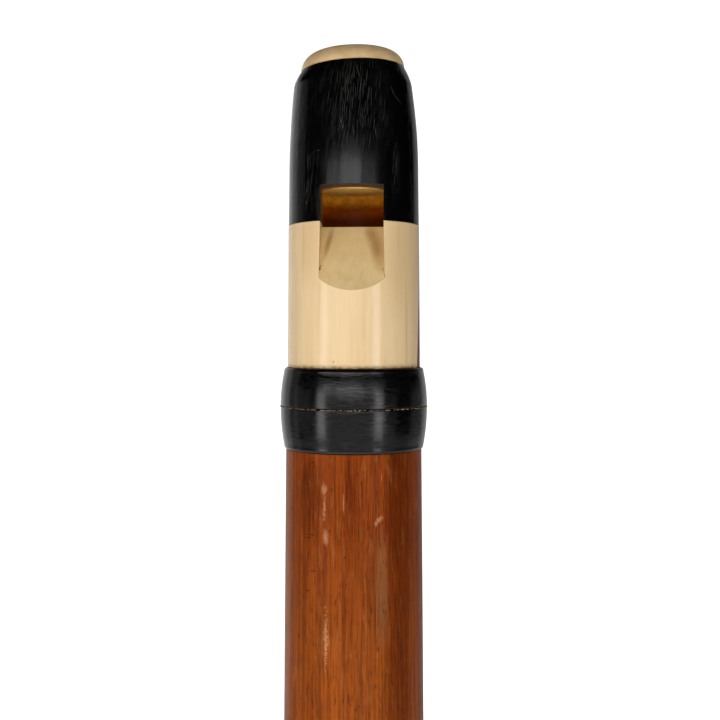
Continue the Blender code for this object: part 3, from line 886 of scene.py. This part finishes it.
# A patch of dust, and along the left rim a painted sheen
WOOD_DUST_AND_SHEEN_MARKS = [
    (24.7, 301.0, 1.1, 9.0, 0.0, 0.15, 0.5),
    (-68.0, 305.0, 1.6, 40.0, 0.0, 0.15, 0.6),
]
# Painted sheen for the wood's lower part
WOOD_PAINTED_SHEEN = (0.36, 0.082, 0.0045)
WOOD_BANDS = (0.13, 0.014, 0.0006)
WOOD_DEEP_RED = (0.08, 0.006, 0.0004)
WOOD_FIBRES = (0.38, 0.090, 0.0050)
WOOD_RUBBED = (0.45, 0.160, 0.0350)
WOOD_DUST_AND_SHEEN = (0.25, 0.095, 0.030)
WOOD_PORES = (0.040, 0.008, 0.0010)
WOOD_SCUFFED = (0.60, 0.29, 0.140)
# Painted light on the bore's wall under the window's roof: half light, then full light
BORE_PAINTED_HALF_LIGHT = (0.52, 0.120, 0.0045)
BORE_PAINTED_LIGHT = (0.95, 0.40, 0.026)
BORE_STAIN = (0.17, 0.045, 0.003)
# Bare sawn wood, and the painted shade on the sawn faces over the window's roof
SAWN_WOOD_AND_PAINTED_SHADE = (0.26, 0.140, 0.050), (0.045, 0.022, 0.008)


def make_wood(name, stuffs):
    """Oiled red wood with long grain, open pores, scuffs and, inside, an amber bore."""
    tree, shader, place = new_material(name)
    shader.inputs["Specular IOR Level"].default_value = 0.07
    height, radius = place["Height"], place["Radius"]
    bands = streaks(tree, place, 0.28, 0.008, 0.34, 0.66)
    grain = streaks(tree, place, 1.9, 0.035, 0.40, 0.62)
    fibres = streaks(tree, place, 6.0, 0.22, 0.40, 0.70)
    pores = scratches(tree, place, 3.4, 0.11, 0.030, 0.34)
    rubbed = streaks(tree, place, 1.3, 0.16, 0.52, 0.74)
    scuffed = marks(tree, WOOD_SCUFFS)
    # Lighter towards the bottom: a painted sheen
    colour = blend(tree, remap(tree, height, 316.0, 290.0, 0.0, 0.75), stuffs.wood, WOOD_PAINTED_SHEEN)
    colour = stain(tree, colour, bands, 0.50, WOOD_BANDS)
    colour = stain(tree, colour, marks(tree, WOOD_RED), 0.6, WOOD_DEEP_RED)
    colour = stain(tree, colour, grain, 0.55, stuffs.wood_grain)
    colour = stain(tree, colour, fibres, 0.30, WOOD_FIBRES)
    colour = stain(tree, colour, rubbed, 0.30, WOOD_RUBBED)
    # Dust in one patch, and a painted sheen along the left rim
    colour = stain(tree, colour, marks(tree, WOOD_DUST_AND_SHEEN_MARKS), 0.65, WOOD_DUST_AND_SHEEN)
    dark = calc(tree, "MAXIMUM", times(tree, pores, 0.8), times(tree, marks(tree, WOOD_KNOTS), 0.85))
    colour = blend(tree, dark, colour, WOOD_PORES)
    colour = stain(tree, colour, scuffed, 0.55, WOOD_SCUFFED)

    # Faces sawn for the window, with painted shade on them over its roof
    deep = rest(tree, remap(tree, radius, 8.50, 8.60))
    sawn = times(tree, deep, remap(tree, height, 360.0, 361.0))
    painted_shade_over_roof = remap(tree, height, (WINDOW_ROOF - 0.0001) * MM, (WINDOW_ROOF + 0.0001) * MM)
    colour = blend(tree, sawn, colour, blend(tree, painted_shade_over_roof, *SAWN_WOOD_AND_PAINTED_SHADE))

    # The bore, with painted light that makes it brighter towards the window's roof
    inside = rest(tree, remap(tree, radius, BORE * MM + 0.1, BORE * MM + 0.6))
    bore = blend(tree, remap(tree, height, 369.0, 370.9), stuffs.bare_wood, BORE_PAINTED_HALF_LIGHT)
    bore = blend(tree, remap(tree, height, 371.3, 372.9), bore, BORE_PAINTED_LIGHT)
    bore = stain(tree, bore, streaks(tree, place, 0.6, 0.9, 0.35, 0.7), 0.4, BORE_STAIN)
    colour = blend(tree, inside, colour, bore)
    rough = calc(tree, "MULTIPLY_ADD", fibres, 0.12, 0.30)
    rough = calc(tree, "MULTIPLY_ADD", scuffed, 0.15, rough)
    coat(tree, shader, colour, rough, calc(tree, "SUBTRACT", times(tree, fibres, 0.25), dark), 0.00004)


CEDAR_RINGS = (0.40, 0.18, 0.030)
CEDAR_WET = (0.48, 0.24, 0.045)


def make_cedar(name, stuffs):
    """Bare cedar of the block, with its grain lengthwise."""
    tree, shader, place = new_material(name)
    rings = streaks(tree, place, 1.2, 0.06, 0.38, 0.66)
    colour = stain(tree, stuffs.cedar, rings, 0.45, CEDAR_RINGS)
    colour = stain(tree, colour, streaks(tree, place, 0.4, 0.4, 0.35, 0.7), 0.35, CEDAR_WET)
    coat(tree, shader, colour, calc(tree, "MULTIPLY_ADD", rings, 0.1, 0.62), rings, 0.00003)


THREAD_FIBRES = (0.30, 0.20, 0.095)
THREAD_DUST = (0.22, 0.14, 0.07)


def make_thread(name, stuffs):
    """Waxed thread: twisted fibres, darker where the wax has picked up dust."""
    tree, shader, place = new_material(name)
    fibres = streaks(tree, place, 7.0, 9.0, 0.40, 0.65)
    dust = streaks(tree, place, 0.5, 0.5, 0.4, 0.7)
    colour = stain(tree, stuffs.thread, fibres, 0.5, THREAD_FIBRES)
    colour = stain(tree, colour, dust, 0.4, THREAD_DUST)
    coat(tree, shader, colour, calc(tree, "MULTIPLY_ADD", dust, 0.15, 0.55), fibres, 0.00005)


OLD_WAX = (0.50, 0.33, 0.190), (0.14, 0.055, 0.020)
OLD_GLUE = (0.13, 0.055, 0.018), (0.045, 0.016, 0.006)


def make_crumbs(name, colours):
    """Old wax, glue and dust in the seams, in two colours."""
    tree, shader, place = new_material(name)
    spots = streaks(tree, place, 2.5, 2.5, 0.4, 0.6)
    rough = calc(tree, "MULTIPLY_ADD", spots, 0.2, 0.6)
    coat(tree, shader, blend(tree, spots, *colours), rough, spots, 0.00004)


# ---- operators ----


class PIPE_OT_finishes(Operator):
    """Makes the shader groups and the finish of every kind of stuff"""

    bl_idname = "pipe.finishes"
    bl_label = "Finishes"

    def execute(self, context):
        stuffs = context.scene.pipe_finish
        make_place_group()
        make_streaks_group()
        make_scratches_group()
        make_hairlines_group()
        make_mark_group()
        make_horn("scratched_horn", stuffs, around=False)
        make_horn("brushed_horn", stuffs, around=True)
        make_bone("carved_bone", stuffs)
        make_turned_bone("turned_bone", stuffs)
        make_wood("oiled_red_wood", stuffs)
        make_cedar("bare_cedar", stuffs)
        make_thread("waxed_thread", stuffs)
        make_crumbs("old_wax", OLD_WAX)
        make_crumbs("old_glue", OLD_GLUE)
        return {"FINISHED"}


class PIPE_OT_wooden_body(Operator):
    """Turns the wooden body with its bore and socket, and bores its three finger holes"""

    bl_idname = "pipe.wooden_body"
    bl_label = "Wooden body"

    def execute(self, context):
        foot = low("body_tube")
        shoulder, swell_foot = BODY_SHOULDER - GLUE_GAP, FERRULE_TOP + GLUE_GAP
        socket_floor = TENON_END - SOCKET_END_GAP
        outline = [
            (BORE, foot),
            (FOOT_SPIGOT, foot),
            (FOOT_SPIGOT, FERRULE_FOOT + GLUE_GAP),
            (FERRULE_SEAT, FERRULE_FOOT + GLUE_GAP),
            (FERRULE_SEAT, swell_foot),
        ]
        rows = 60
        for row in range(rows + 1):
            height = swell_foot + (shoulder - swell_foot) * row / rows
            outline.append((body_radius(height), height))
        outline += [(RING_SEAT, shoulder), (RING_SEAT, BODY_TOP)]
        outline += arc((SOCKET + MOUTH_EASE, BODY_TOP - MOUTH_EASE), (-MOUTH_EASE, MOUTH_EASE), 90, 0, 5)
        outline += [(SOCKET, socket_floor), (BORE, socket_floor)]
        piece = turn("wooden_body", outline)
        for height, side in FINGER_HOLES:
            cut(piece, hole_tool(height, side))
        finish(piece, "oiled_red_wood", "body", "oiled_wood", "body_tube")
        return {"FINISHED"}


class PIPE_OT_joint_rings(Operator):
    """Turns the two horn rings at the joint, one on the body and one on the head"""

    bl_idname = "pipe.joint_rings"
    bl_label = "Joint rings"

    def execute(self, context):
        piece = joint_ring("lower_ring", BODY_TOP, BODY_SHOULDER, BODY_TOP_RADIUS)
        finish(piece, "brushed_horn", "body", "black_horn", "lower_horn_ring")
        piece = joint_ring("upper_ring", HEAD_SEAT, BONE_SEAM, BONE_FOOT + RING_STEP)
        finish(piece, "brushed_horn", "head", "black_horn", "upper_horn_ring")
        return {"FINISHED"}


class PIPE_OT_foot(Operator):
    """Turns the horn ferrule and the bone cap that the pipe stands on"""

    bl_idname = "pipe.foot"
    bl_label = "Foot"

    def execute(self, context):
        base = FERRULE_FOOT + GLUE_GAP
        middle = (FERRULE_FOOT + FERRULE_TOP) / 2
        rim, crown = reach("body_tube"), reach("foot_horn_ferrule")
        seat = FERRULE_SEAT + GLUE_GAP
        outline = barrel(crown, FERRULE_BARREL, rim, middle, base)[:0:-1]
        outline += barrel(crown, FERRULE_BARREL, rim, middle, FERRULE_TOP)
        outline += [(seat, FERRULE_TOP), (seat, base)]
        piece = turn("foot_ferrule", outline)
        finish(piece, "brushed_horn", "body", "black_horn", "foot_horn_ferrule")

        edge = rim - CAP_INSET
        inner = FOOT_SPIGOT + GLUE_GAP
        floor = FERRULE_FOOT - CAP_SPIGOT
        outline = arc((BORE + MOUTH_EASE, MOUTH_EASE), (-MOUTH_EASE, -MOUTH_EASE), 0, 90, 5)
        outline += arc((edge - CAP_EASE, CAP_EASE), (CAP_EASE, CAP_EASE), -90, 0, 12)
        outline += [(edge, FERRULE_FOOT), (inner, FERRULE_FOOT), (inner, floor), (BORE, floor)]
        piece = turn("foot_cap", outline)
        finish(piece, "turned_bone", "body", "polished_bone", "foot_bone_cap")
        return {"FINISHED"}


class PIPE_OT_thread(Operator):
    """Winds the waxed thread in the tenon's groove, over a first layer that fills it"""

    bl_idname = "pipe.thread"
    bl_label = "Thread lapping"

    def execute(self, context):
        thread = context.scene.pipe_sizes.thread_diameter / 2
        outer = reach("thread_lapping") - THREAD_INSET
        inner = TENON_GROOVE + GLUE_GAP
        filled = outer - THREAD_DEPTH * thread
        foot, top = low("thread_lapping") + thread, high("thread_lapping") - thread
        core = turn("thread_core", [(inner, foot), (filled, foot), (filled, top), (inner, top)], 96)
        turns = int((top - foot) / (THREAD_PITCH * thread))
        bpy.ops.object.select_all(action="DESELECT")
        bpy.ops.mesh.primitive_circle_add(
            vertices=10, radius=thread, location=(outer - thread, 0, foot),
            rotation=(math.radians(90), 0, 0)
        )
        piece = context.object
        piece.name = piece.data.name = "thread_winding"
        settle(piece)
        winding = piece.modifiers.new("winding", "SCREW")
        winding.axis = "Z"
        winding.angle = math.tau
        winding.screw_offset = (top - foot) / turns
        winding.iterations = turns
        winding.steps = winding.render_steps = 72
        bpy.ops.object.modifier_apply(modifier=winding.name)
        bpy.ops.object.mode_set(mode="EDIT")
        bpy.ops.mesh.select_all(action="SELECT")
        bpy.ops.mesh.fill_holes(sides=0)
        close_up()
        core.select_set(True)
        bpy.ops.object.join()
        finish(piece, "waxed_thread", "lapping", "waxed_thread", "thread_lapping")
        return {"FINISHED"}


class PIPE_OT_head_core(Operator):
    """Turns the head's wooden core with its tenon, and cuts the bone's recess, the window and the windway"""

    bl_idname = "pipe.head_core"
    bl_label = "Head core"

    def execute(self, context):
        bone_low, bone_high = BONE_SEAM + GLUE_GAP, HORN_SEAM - GLUE_GAP
        outline = [(BORE, TENON_END)]
        outline += arc((TENON - TENON_EASE, TENON_END + TENON_EASE), (TENON_EASE, TENON_EASE), -90, 0)
        outline += [
            (TENON, TENON_END + TENON_COLLAR),
            (TENON_GROOVE, TENON_END + TENON_COLLAR),
            (TENON_GROOVE, HEAD_SEAT - TENON_COLLAR),
            (TENON, HEAD_SEAT - TENON_COLLAR),
            (TENON, HEAD_SEAT),
            (RING_SEAT, HEAD_SEAT),
            (RING_SEAT, bone_low),
            (bone_radius(bone_low), bone_low),
            (bone_radius(bone_high), bone_high),
            (HORN_SEAT, bone_high),
            (HORN_SEAT, WINDOW_ROOF),
            (HORN_SEAT, TIP_SEAM),
            (BORE, TIP_SEAM),
            (BORE, WINDOW_ROOF),
        ]
        piece = turn("head_wood", outline)
        askew(piece)
        cut(piece, joint_tool("recess_tool", BONE_SEAM, HORN_SEAM, -1, 0.0))
        cut(piece, window_tool())
        cut(piece, windway_tool())
        finish(piece, "oiled_red_wood", "head", "oiled_wood", "head_core")
        return {"FINISHED"}


class PIPE_OT_bone_front(Operator):
    """Makes the bone half-shell, and cuts the window and the ramp with its labium"""

    bl_idname = "pipe.bone_front"
    bl_label = "Bone front"

    def execute(self, context):
        foot, top = BONE_SEAM + GLUE_GAP, HORN_SEAM - GLUE_GAP
        outline = [(BORE, foot), (bone_radius(foot), foot), (bone_radius(top), top), (BORE, top)]
        piece = turn("bone_front", outline)
        cut(piece, joint_tool("back_tool", foot - MARGIN, top + MARGIN, 1, GLUE_GAP))
        cut(piece, window_tool())
        cut(piece, ramp_tool())
        finish(piece, "carved_bone", "head", "polished_bone", "bone_labium_shell")
        return {"FINISHED"}


class PIPE_OT_horn_sleeve(Operator):
    """Turns the horn sleeve with its taper and shoulder, and cuts its part of the window"""

    bl_idname = "pipe.horn_sleeve"
    bl_label = "Horn sleeve"

    def execute(self, context):
        horn = reach("horn_mouthpiece")
        widest = horn - HORN_DRAFT
        seat = HORN_SEAT + GLUE_GAP
        taper_foot, taper_top = HORN_SEAM + HORN_STRAIGHT, TIP_SEAM - SHOULDER
        fall = widest - HORN_TAPER - TIP_RADIUS
        outline = [(seat, HORN_SEAM), (horn, HORN_SEAM)]
        rows = 24
        for row in range(rows):
            share = row / rows
            outline.append((widest - HORN_TAPER * share**2, taper_foot + (taper_top - taper_foot) * share))
        rows = 16
        for row in range(rows + 1):
            share = row / rows
            outline.append((TIP_RADIUS + fall * (1 - share**SHOULDER_POWER), taper_top + SHOULDER * share))
        outline += [(seat, TIP_SEAM), (seat, WINDOW_ROOF)]
        piece = turn("horn_sleeve", outline)
        askew(piece)
        cut(piece, window_tool())
        finish(piece, "scratched_horn", "head", "black_horn", "horn_mouthpiece")
        return {"FINISHED"}


class PIPE_OT_mouth_ring(Operator):
    """Turns the bone ring at the mouth end, and cuts the windway through it"""

    bl_idname = "pipe.mouth_ring"
    bl_label = "Mouth ring"

    def execute(self, context):
        base = TIP_SEAM + GLUE_GAP
        face = BORE + TIP_FACE
        outline = arc((face, base), (TIP_RADIUS - face, PIPE_TOP - base), 0, 90, 24)
        outline += [(BORE, PIPE_TOP), (BORE, base)]
        piece = turn("mouth_ring", outline)
        askew(piece)
        cut(piece, windway_tool())
        finish(piece, "turned_bone", "head", "polished_bone", "mouth_tip_ring")
        return {"FINISHED"}


class PIPE_OT_block(Operator):
    """Makes the cedar block, chamfered where the windway ends over the window"""

    bl_idname = "pipe.block"
    bl_label = "Block"

    def execute(self, context):
        radius = BORE - GLUE_GAP
        heights = (WINDOW_ROOF, TIP_SEAM, PIPE_TOP)
        outline = [(0.0, WINDOW_ROOF), *((radius, height) for height in heights), (0.0, PIPE_TOP)]
        piece = turn("cedar_block", outline)
        askew(piece)
        wide = 2 * BORE
        wedge = [
            (-wide, -radius - BLOCK_CHAMFER, WINDOW_ROOF - TINY),
            (-wide, -radius + BLOCK_CHAMFER, WINDOW_ROOF - TINY),
            (-wide, -radius, WINDOW_ROOF + BLOCK_CHAMFER),
            (-wide, -radius - BLOCK_CHAMFER, WINDOW_ROOF + BLOCK_CHAMFER),
        ]
        cut(piece, slab("chamfer_tool", wedge, (2 * wide, 0, 0)))
        finish(piece, "bare_cedar", "head", "block_cedar", "fipple_block")
        return {"FINISHED"}


class PIPE_OT_seams(Operator):
    """Adds the old glue under the bone and the crumbs of wax in the joint's seam"""

    bl_idname = "pipe.seams"
    bl_label = "Seams"

    def execute(self, context):
        bpy.ops.object.select_all(action="DESELECT")
        bpy.ops.mesh.primitive_torus_add(
            major_segments=180, minor_segments=8, major_radius=BONE_FOOT + BEAD_PROUD,
            minor_radius=BEAD_RADIUS, location=(0, 0, BONE_SEAM + BEAD_RISE)
        )
        bead = context.object
        bead.name = bead.data.name = "glue_bead"
        settle(bead)
        bpy.ops.object.mode_set(mode="EDIT")
        bpy.ops.mesh.select_all(action="SELECT")
        bpy.ops.transform.vertex_random(offset=BEAD_UNEVENNESS, seed=5)
        bpy.ops.object.mode_set(mode="OBJECT")
        finish(bead, "old_glue", "head", "polished_bone")

        chance = random.Random(11)
        crown = reach("upper_horn_ring")
        bpy.ops.object.select_all(action="DESELECT")
        bpy.ops.mesh.primitive_ico_sphere_add(
            subdivisions=1, radius=FIRST_CRUMB, location=(0, -crown, BODY_TOP)
        )
        crumbs = context.object
        crumbs.name = crumbs.data.name = "seam_crumbs"
        settle(crumbs)
        bpy.ops.object.mode_set(mode="EDIT")
        for _ in range(CRUMBS):
            angle = chance.uniform(0, math.tau)
            size = chance.uniform(*CRUMB_SIZES)
            out = crown - CRUMB_DEPTH + chance.uniform(-0.00006, 0.00003)
            height = BODY_TOP + chance.uniform(-0.00002, 0.00008)
            place = (out * math.cos(angle), out * math.sin(angle), height)
            bpy.ops.mesh.primitive_ico_sphere_add(subdivisions=1, radius=size, location=place)
            stretch = chance.uniform(1.0, 3.0)
            bpy.ops.transform.resize(value=(stretch, stretch, 1.0), center_override=place)
        bpy.ops.object.mode_set(mode="OBJECT")
        finish(crumbs, "old_wax", "body", "black_horn")
        return {"FINISHED"}


# The picture's width, and how far the camera's view is shifted across and up, in its pixels
PHOTO_WIDTH = 720
PHOTO_ACROSS = 6.2
PHOTO_UP = -24.5
LAMPS_AIM = 0.352
BACKDROP_HEIGHT = 1.3
BACKDROP_ROUNDING = 0.35
# Lamps as seen from the head: azimuth from the front, height, width and depth in degrees, distance,
# brightness, and whether polished surfaces show it
LAMPS = {
    "low_key": (0, -23.5, 50, 9, 0.6, 6.5, False),
    "low_left": (-62, -22, 60, 16, 0.6, 1.5, False),
    "low_front": (0, -34, 60, 10, 0.55, 1.8, False),
    "floor_bounce": (0, -48, 60, 14, 0.42, 2.7, False),
    "rear_soft": (180, 48, 60, 60, 0.8, 1.5, False),
    "rear_left": (-130, 10, 40, 50, 0.8, 0.5, False),
    "rear_right": (130, 10, 40, 50, 0.8, 0.35, False),
    "brow_left": (-34, 8, 24, 5, 0.8, 3.0, True),
    "brow_panel": (-2, 7.0, 40, 5, 0.8, 2.3, True),
    "brow_right": (29, 8, 20, 5, 0.8, 2.0, True),
    "high_panel": (-3, 11, 36, 4, 0.8, 2.3, True),
    "front_panel": (-3, -9, 96, 26, 0.82, 0.38, True),
    "left_strip": (-50, -7, 13, 28, 0.78, 2.7, True),
    "right_strip": (41, -7, 13, 28, 0.78, 2.8, True),
    "left_side": (-86, -5, 36, 20, 0.8, 0.20, True),
    "right_side": (62, -9, 18, 24, 0.8, 0.16, True),
    "left_edge": (-106, 0, 20, 50, 0.8, 0.15, True),
    "left_rim": (-150, 0, 66, 50, 0.8, 0.48, True),
    "right_rim": (132, -10, 60, 26, 0.8, 0.16, True),
}


def hang_lamp(name, azimuth, height, wide, deep, distance, brightness, shows):
    """A flat lamp that faces the head and that the camera doesn't see."""
    around, up = math.radians(azimuth), math.radians(height)
    aim = Vector((0, 0, LAMPS_AIM))
    away = Vector((math.sin(around) * math.cos(up), -math.cos(around) * math.cos(up), math.sin(up)))
    bpy.ops.object.light_add(type="AREA", location=aim + away * distance)
    lamp = bpy.context.object
    lamp.name = lamp.data.name = name
    lamp.data.shape = "RECTANGLE"
    lamp.data.size = 2 * distance * math.tan(math.radians(wide / 2))
    lamp.data.size_y = 2 * distance * math.tan(math.radians(deep / 2))
    lamp.data.energy = brightness * math.pi * lamp.data.size * lamp.data.size_y
    lamp.rotation_euler = away.to_track_quat("Z", "Y").to_euler()
    lamp.visible_camera = False
    lamp.visible_glossy = shows


def pick_edges(piece, wanted):
    """Selects the edges, in edit mode, of which both corners are wanted."""
    shape = bmesh.from_edit_mesh(piece.data)
    for edge in shape.edges:
        edge.select = all(wanted(corner.co) for corner in edge.verts)
    shape.select_flush_mode()
    bmesh.update_edit_mesh(piece.data)


class PIPE_OT_stage(Operator):
    """Sets the floor and backdrop, the lamps, the world and the camera"""

    bl_idname = "pipe.stage"
    bl_label = "Stage"

    def execute(self, context):
        stage = context.scene.pipe_stage
        self.make_floor(stage)
        self.make_world(context.scene)
        for name, (*place, brightness, shows) in LAMPS.items():
            strength = stage.gloss_light if shows else stage.soft_light
            hang_lamp(name, *place, brightness * strength, shows)

        away, turned = stage.eye_distance, stage.eye_turn
        spot = (away * math.sin(turned), -away * math.cos(turned), stage.eye_height)
        bpy.ops.object.camera_add(location=spot, rotation=(math.radians(90), 0, turned))
        camera = context.object
        camera.name = camera.data.name = "photo_camera"
        camera.data.lens_unit = "FOV"
        camera.data.angle = stage.eye_angle
        camera.data.shift_x = PHOTO_ACROSS / PHOTO_WIDTH
        camera.data.shift_y = PHOTO_UP / PHOTO_WIDTH
        camera.data.clip_start = 0.01
        context.scene.camera = camera
        context.scene.view_settings.view_transform = "Standard"
        return {"FINISHED"}

    def make_floor(self, stage):
        """The floor, swept up behind into a backdrop."""
        half = stage.floor_size / 2
        bpy.ops.object.select_all(action="DESELECT")
        bpy.ops.mesh.primitive_plane_add(size=stage.floor_size, location=(0, 0, 0), enter_editmode=True)
        floor = bpy.context.object
        floor.name = floor.data.name = "floor"
        pick_edges(floor, lambda spot: spot.y > half - MARGIN)
        bpy.ops.mesh.extrude_edges_move(TRANSFORM_OT_translate={"value": (0, 0, BACKDROP_HEIGHT)})
        pick_edges(floor, lambda spot: spot.y > half - MARGIN and spot.z < MARGIN)
        bpy.ops.mesh.bevel(offset=BACKDROP_ROUNDING, segments=24, affect="EDGES")
        bpy.ops.object.mode_set(mode="OBJECT")
        bpy.ops.object.shade_smooth()

        made = bpy.data.materials.new("pale_sweep")
        made.use_nodes = True
        tree = made.node_tree
        shader = tree.nodes["Principled BSDF"]
        shader.inputs["Base Color"].default_value = (0.82, 0.82, 0.82, 1.0)
        shader.inputs["Roughness"].default_value = 0.9
        shader.inputs["Specular IOR Level"].default_value = 0.0
        shader.inputs["Emission Color"].default_value = (1.0, 1.0, 1.0, 1.0)
        path = add_node(tree, "ShaderNodeLightPath").outputs
        spot = add_node(tree, "ShaderNodeTexCoord").outputs["Object"]
        away = add_node(tree, "ShaderNodeVectorMath", {0: spot}, operation="LENGTH").outputs["Value"]
        clear = remap(tree, away, 0.10, 0.55, 0.50, 1.0)
        seen = times(tree, path["Is Camera Ray"], clear)
        glow = calc(tree, "MULTIPLY_ADD", path["Is Glossy Ray"], 0.10, seen)
        tree.links.new(glow, shader.inputs["Emission Strength"])
        floor.data.materials.append(made)

    def make_world(self, scene):
        """White for the camera, and dim for everything else."""
        world = bpy.data.worlds.new("pale_world")
        world.use_nodes = True
        scene.world = world
        tree = world.node_tree
        back = tree.nodes["Background"]
        back.inputs["Color"].default_value = (1.0, 1.0, 1.0, 1.0)
        path = add_node(tree, "ShaderNodeLightPath").outputs
        dim = times(tree, path["Is Diffuse Ray"], 0.08)
        strength = calc(tree, "MAXIMUM", path["Is Camera Ray"], dim)
        tree.links.new(strength, back.inputs["Strength"])


class PIPE_PT_maker(Panel):
    """Lists the pipe's sizes, finishes and pieces"""

    bl_label = "Three-hole pipe"
    bl_space_type = "VIEW_3D"
    bl_region_type = "UI"
    bl_category = "Pipe"

    def draw(self, context):
        layout = self.layout
        for group in (context.scene.pipe_sizes, context.scene.pipe_finish, context.scene.pipe_stage):
            column = layout.column()
            for name in group.__annotations__:
                column.prop(group, name)
        column = layout.column()
        for step in STEPS:
            column.operator(step.bl_idname)


STEPS = (
    PIPE_OT_finishes,
    PIPE_OT_wooden_body,
    PIPE_OT_joint_rings,
    PIPE_OT_foot,
    PIPE_OT_thread,
    PIPE_OT_head_core,
    PIPE_OT_bone_front,
    PIPE_OT_horn_sleeve,
    PIPE_OT_mouth_ring,
    PIPE_OT_block,
    PIPE_OT_seams,
    PIPE_OT_stage,
)
CLASSES = (PipeSizes, PipeFinish, PipeStage, *STEPS, PIPE_PT_maker)


def register():
    for kind in CLASSES:
        bpy.utils.register_class(kind)
    bpy.types.Scene.pipe_sizes = PointerProperty(type=PipeSizes)
    bpy.types.Scene.pipe_finish = PointerProperty(type=PipeFinish)
    bpy.types.Scene.pipe_stage = PointerProperty(type=PipeStage)


def unregister():
    del bpy.types.Scene.pipe_stage
    del bpy.types.Scene.pipe_finish
    del bpy.types.Scene.pipe_sizes
    for kind in reversed(CLASSES):
        bpy.utils.unregister_class(kind)


def main():
    """Makes every piece in order."""
    register()
    bpy.ops.pipe.finishes()
    bpy.ops.pipe.wooden_body()
    bpy.ops.pipe.joint_rings()
    bpy.ops.pipe.foot()
    bpy.ops.pipe.thread()
    bpy.ops.pipe.head_core()
    bpy.ops.pipe.bone_front()
    bpy.ops.pipe.horn_sleeve()
    bpy.ops.pipe.mouth_ring()
    bpy.ops.pipe.block()
    bpy.ops.pipe.seams()
    bpy.ops.pipe.stage()


if __name__ == "__main__":
    main()
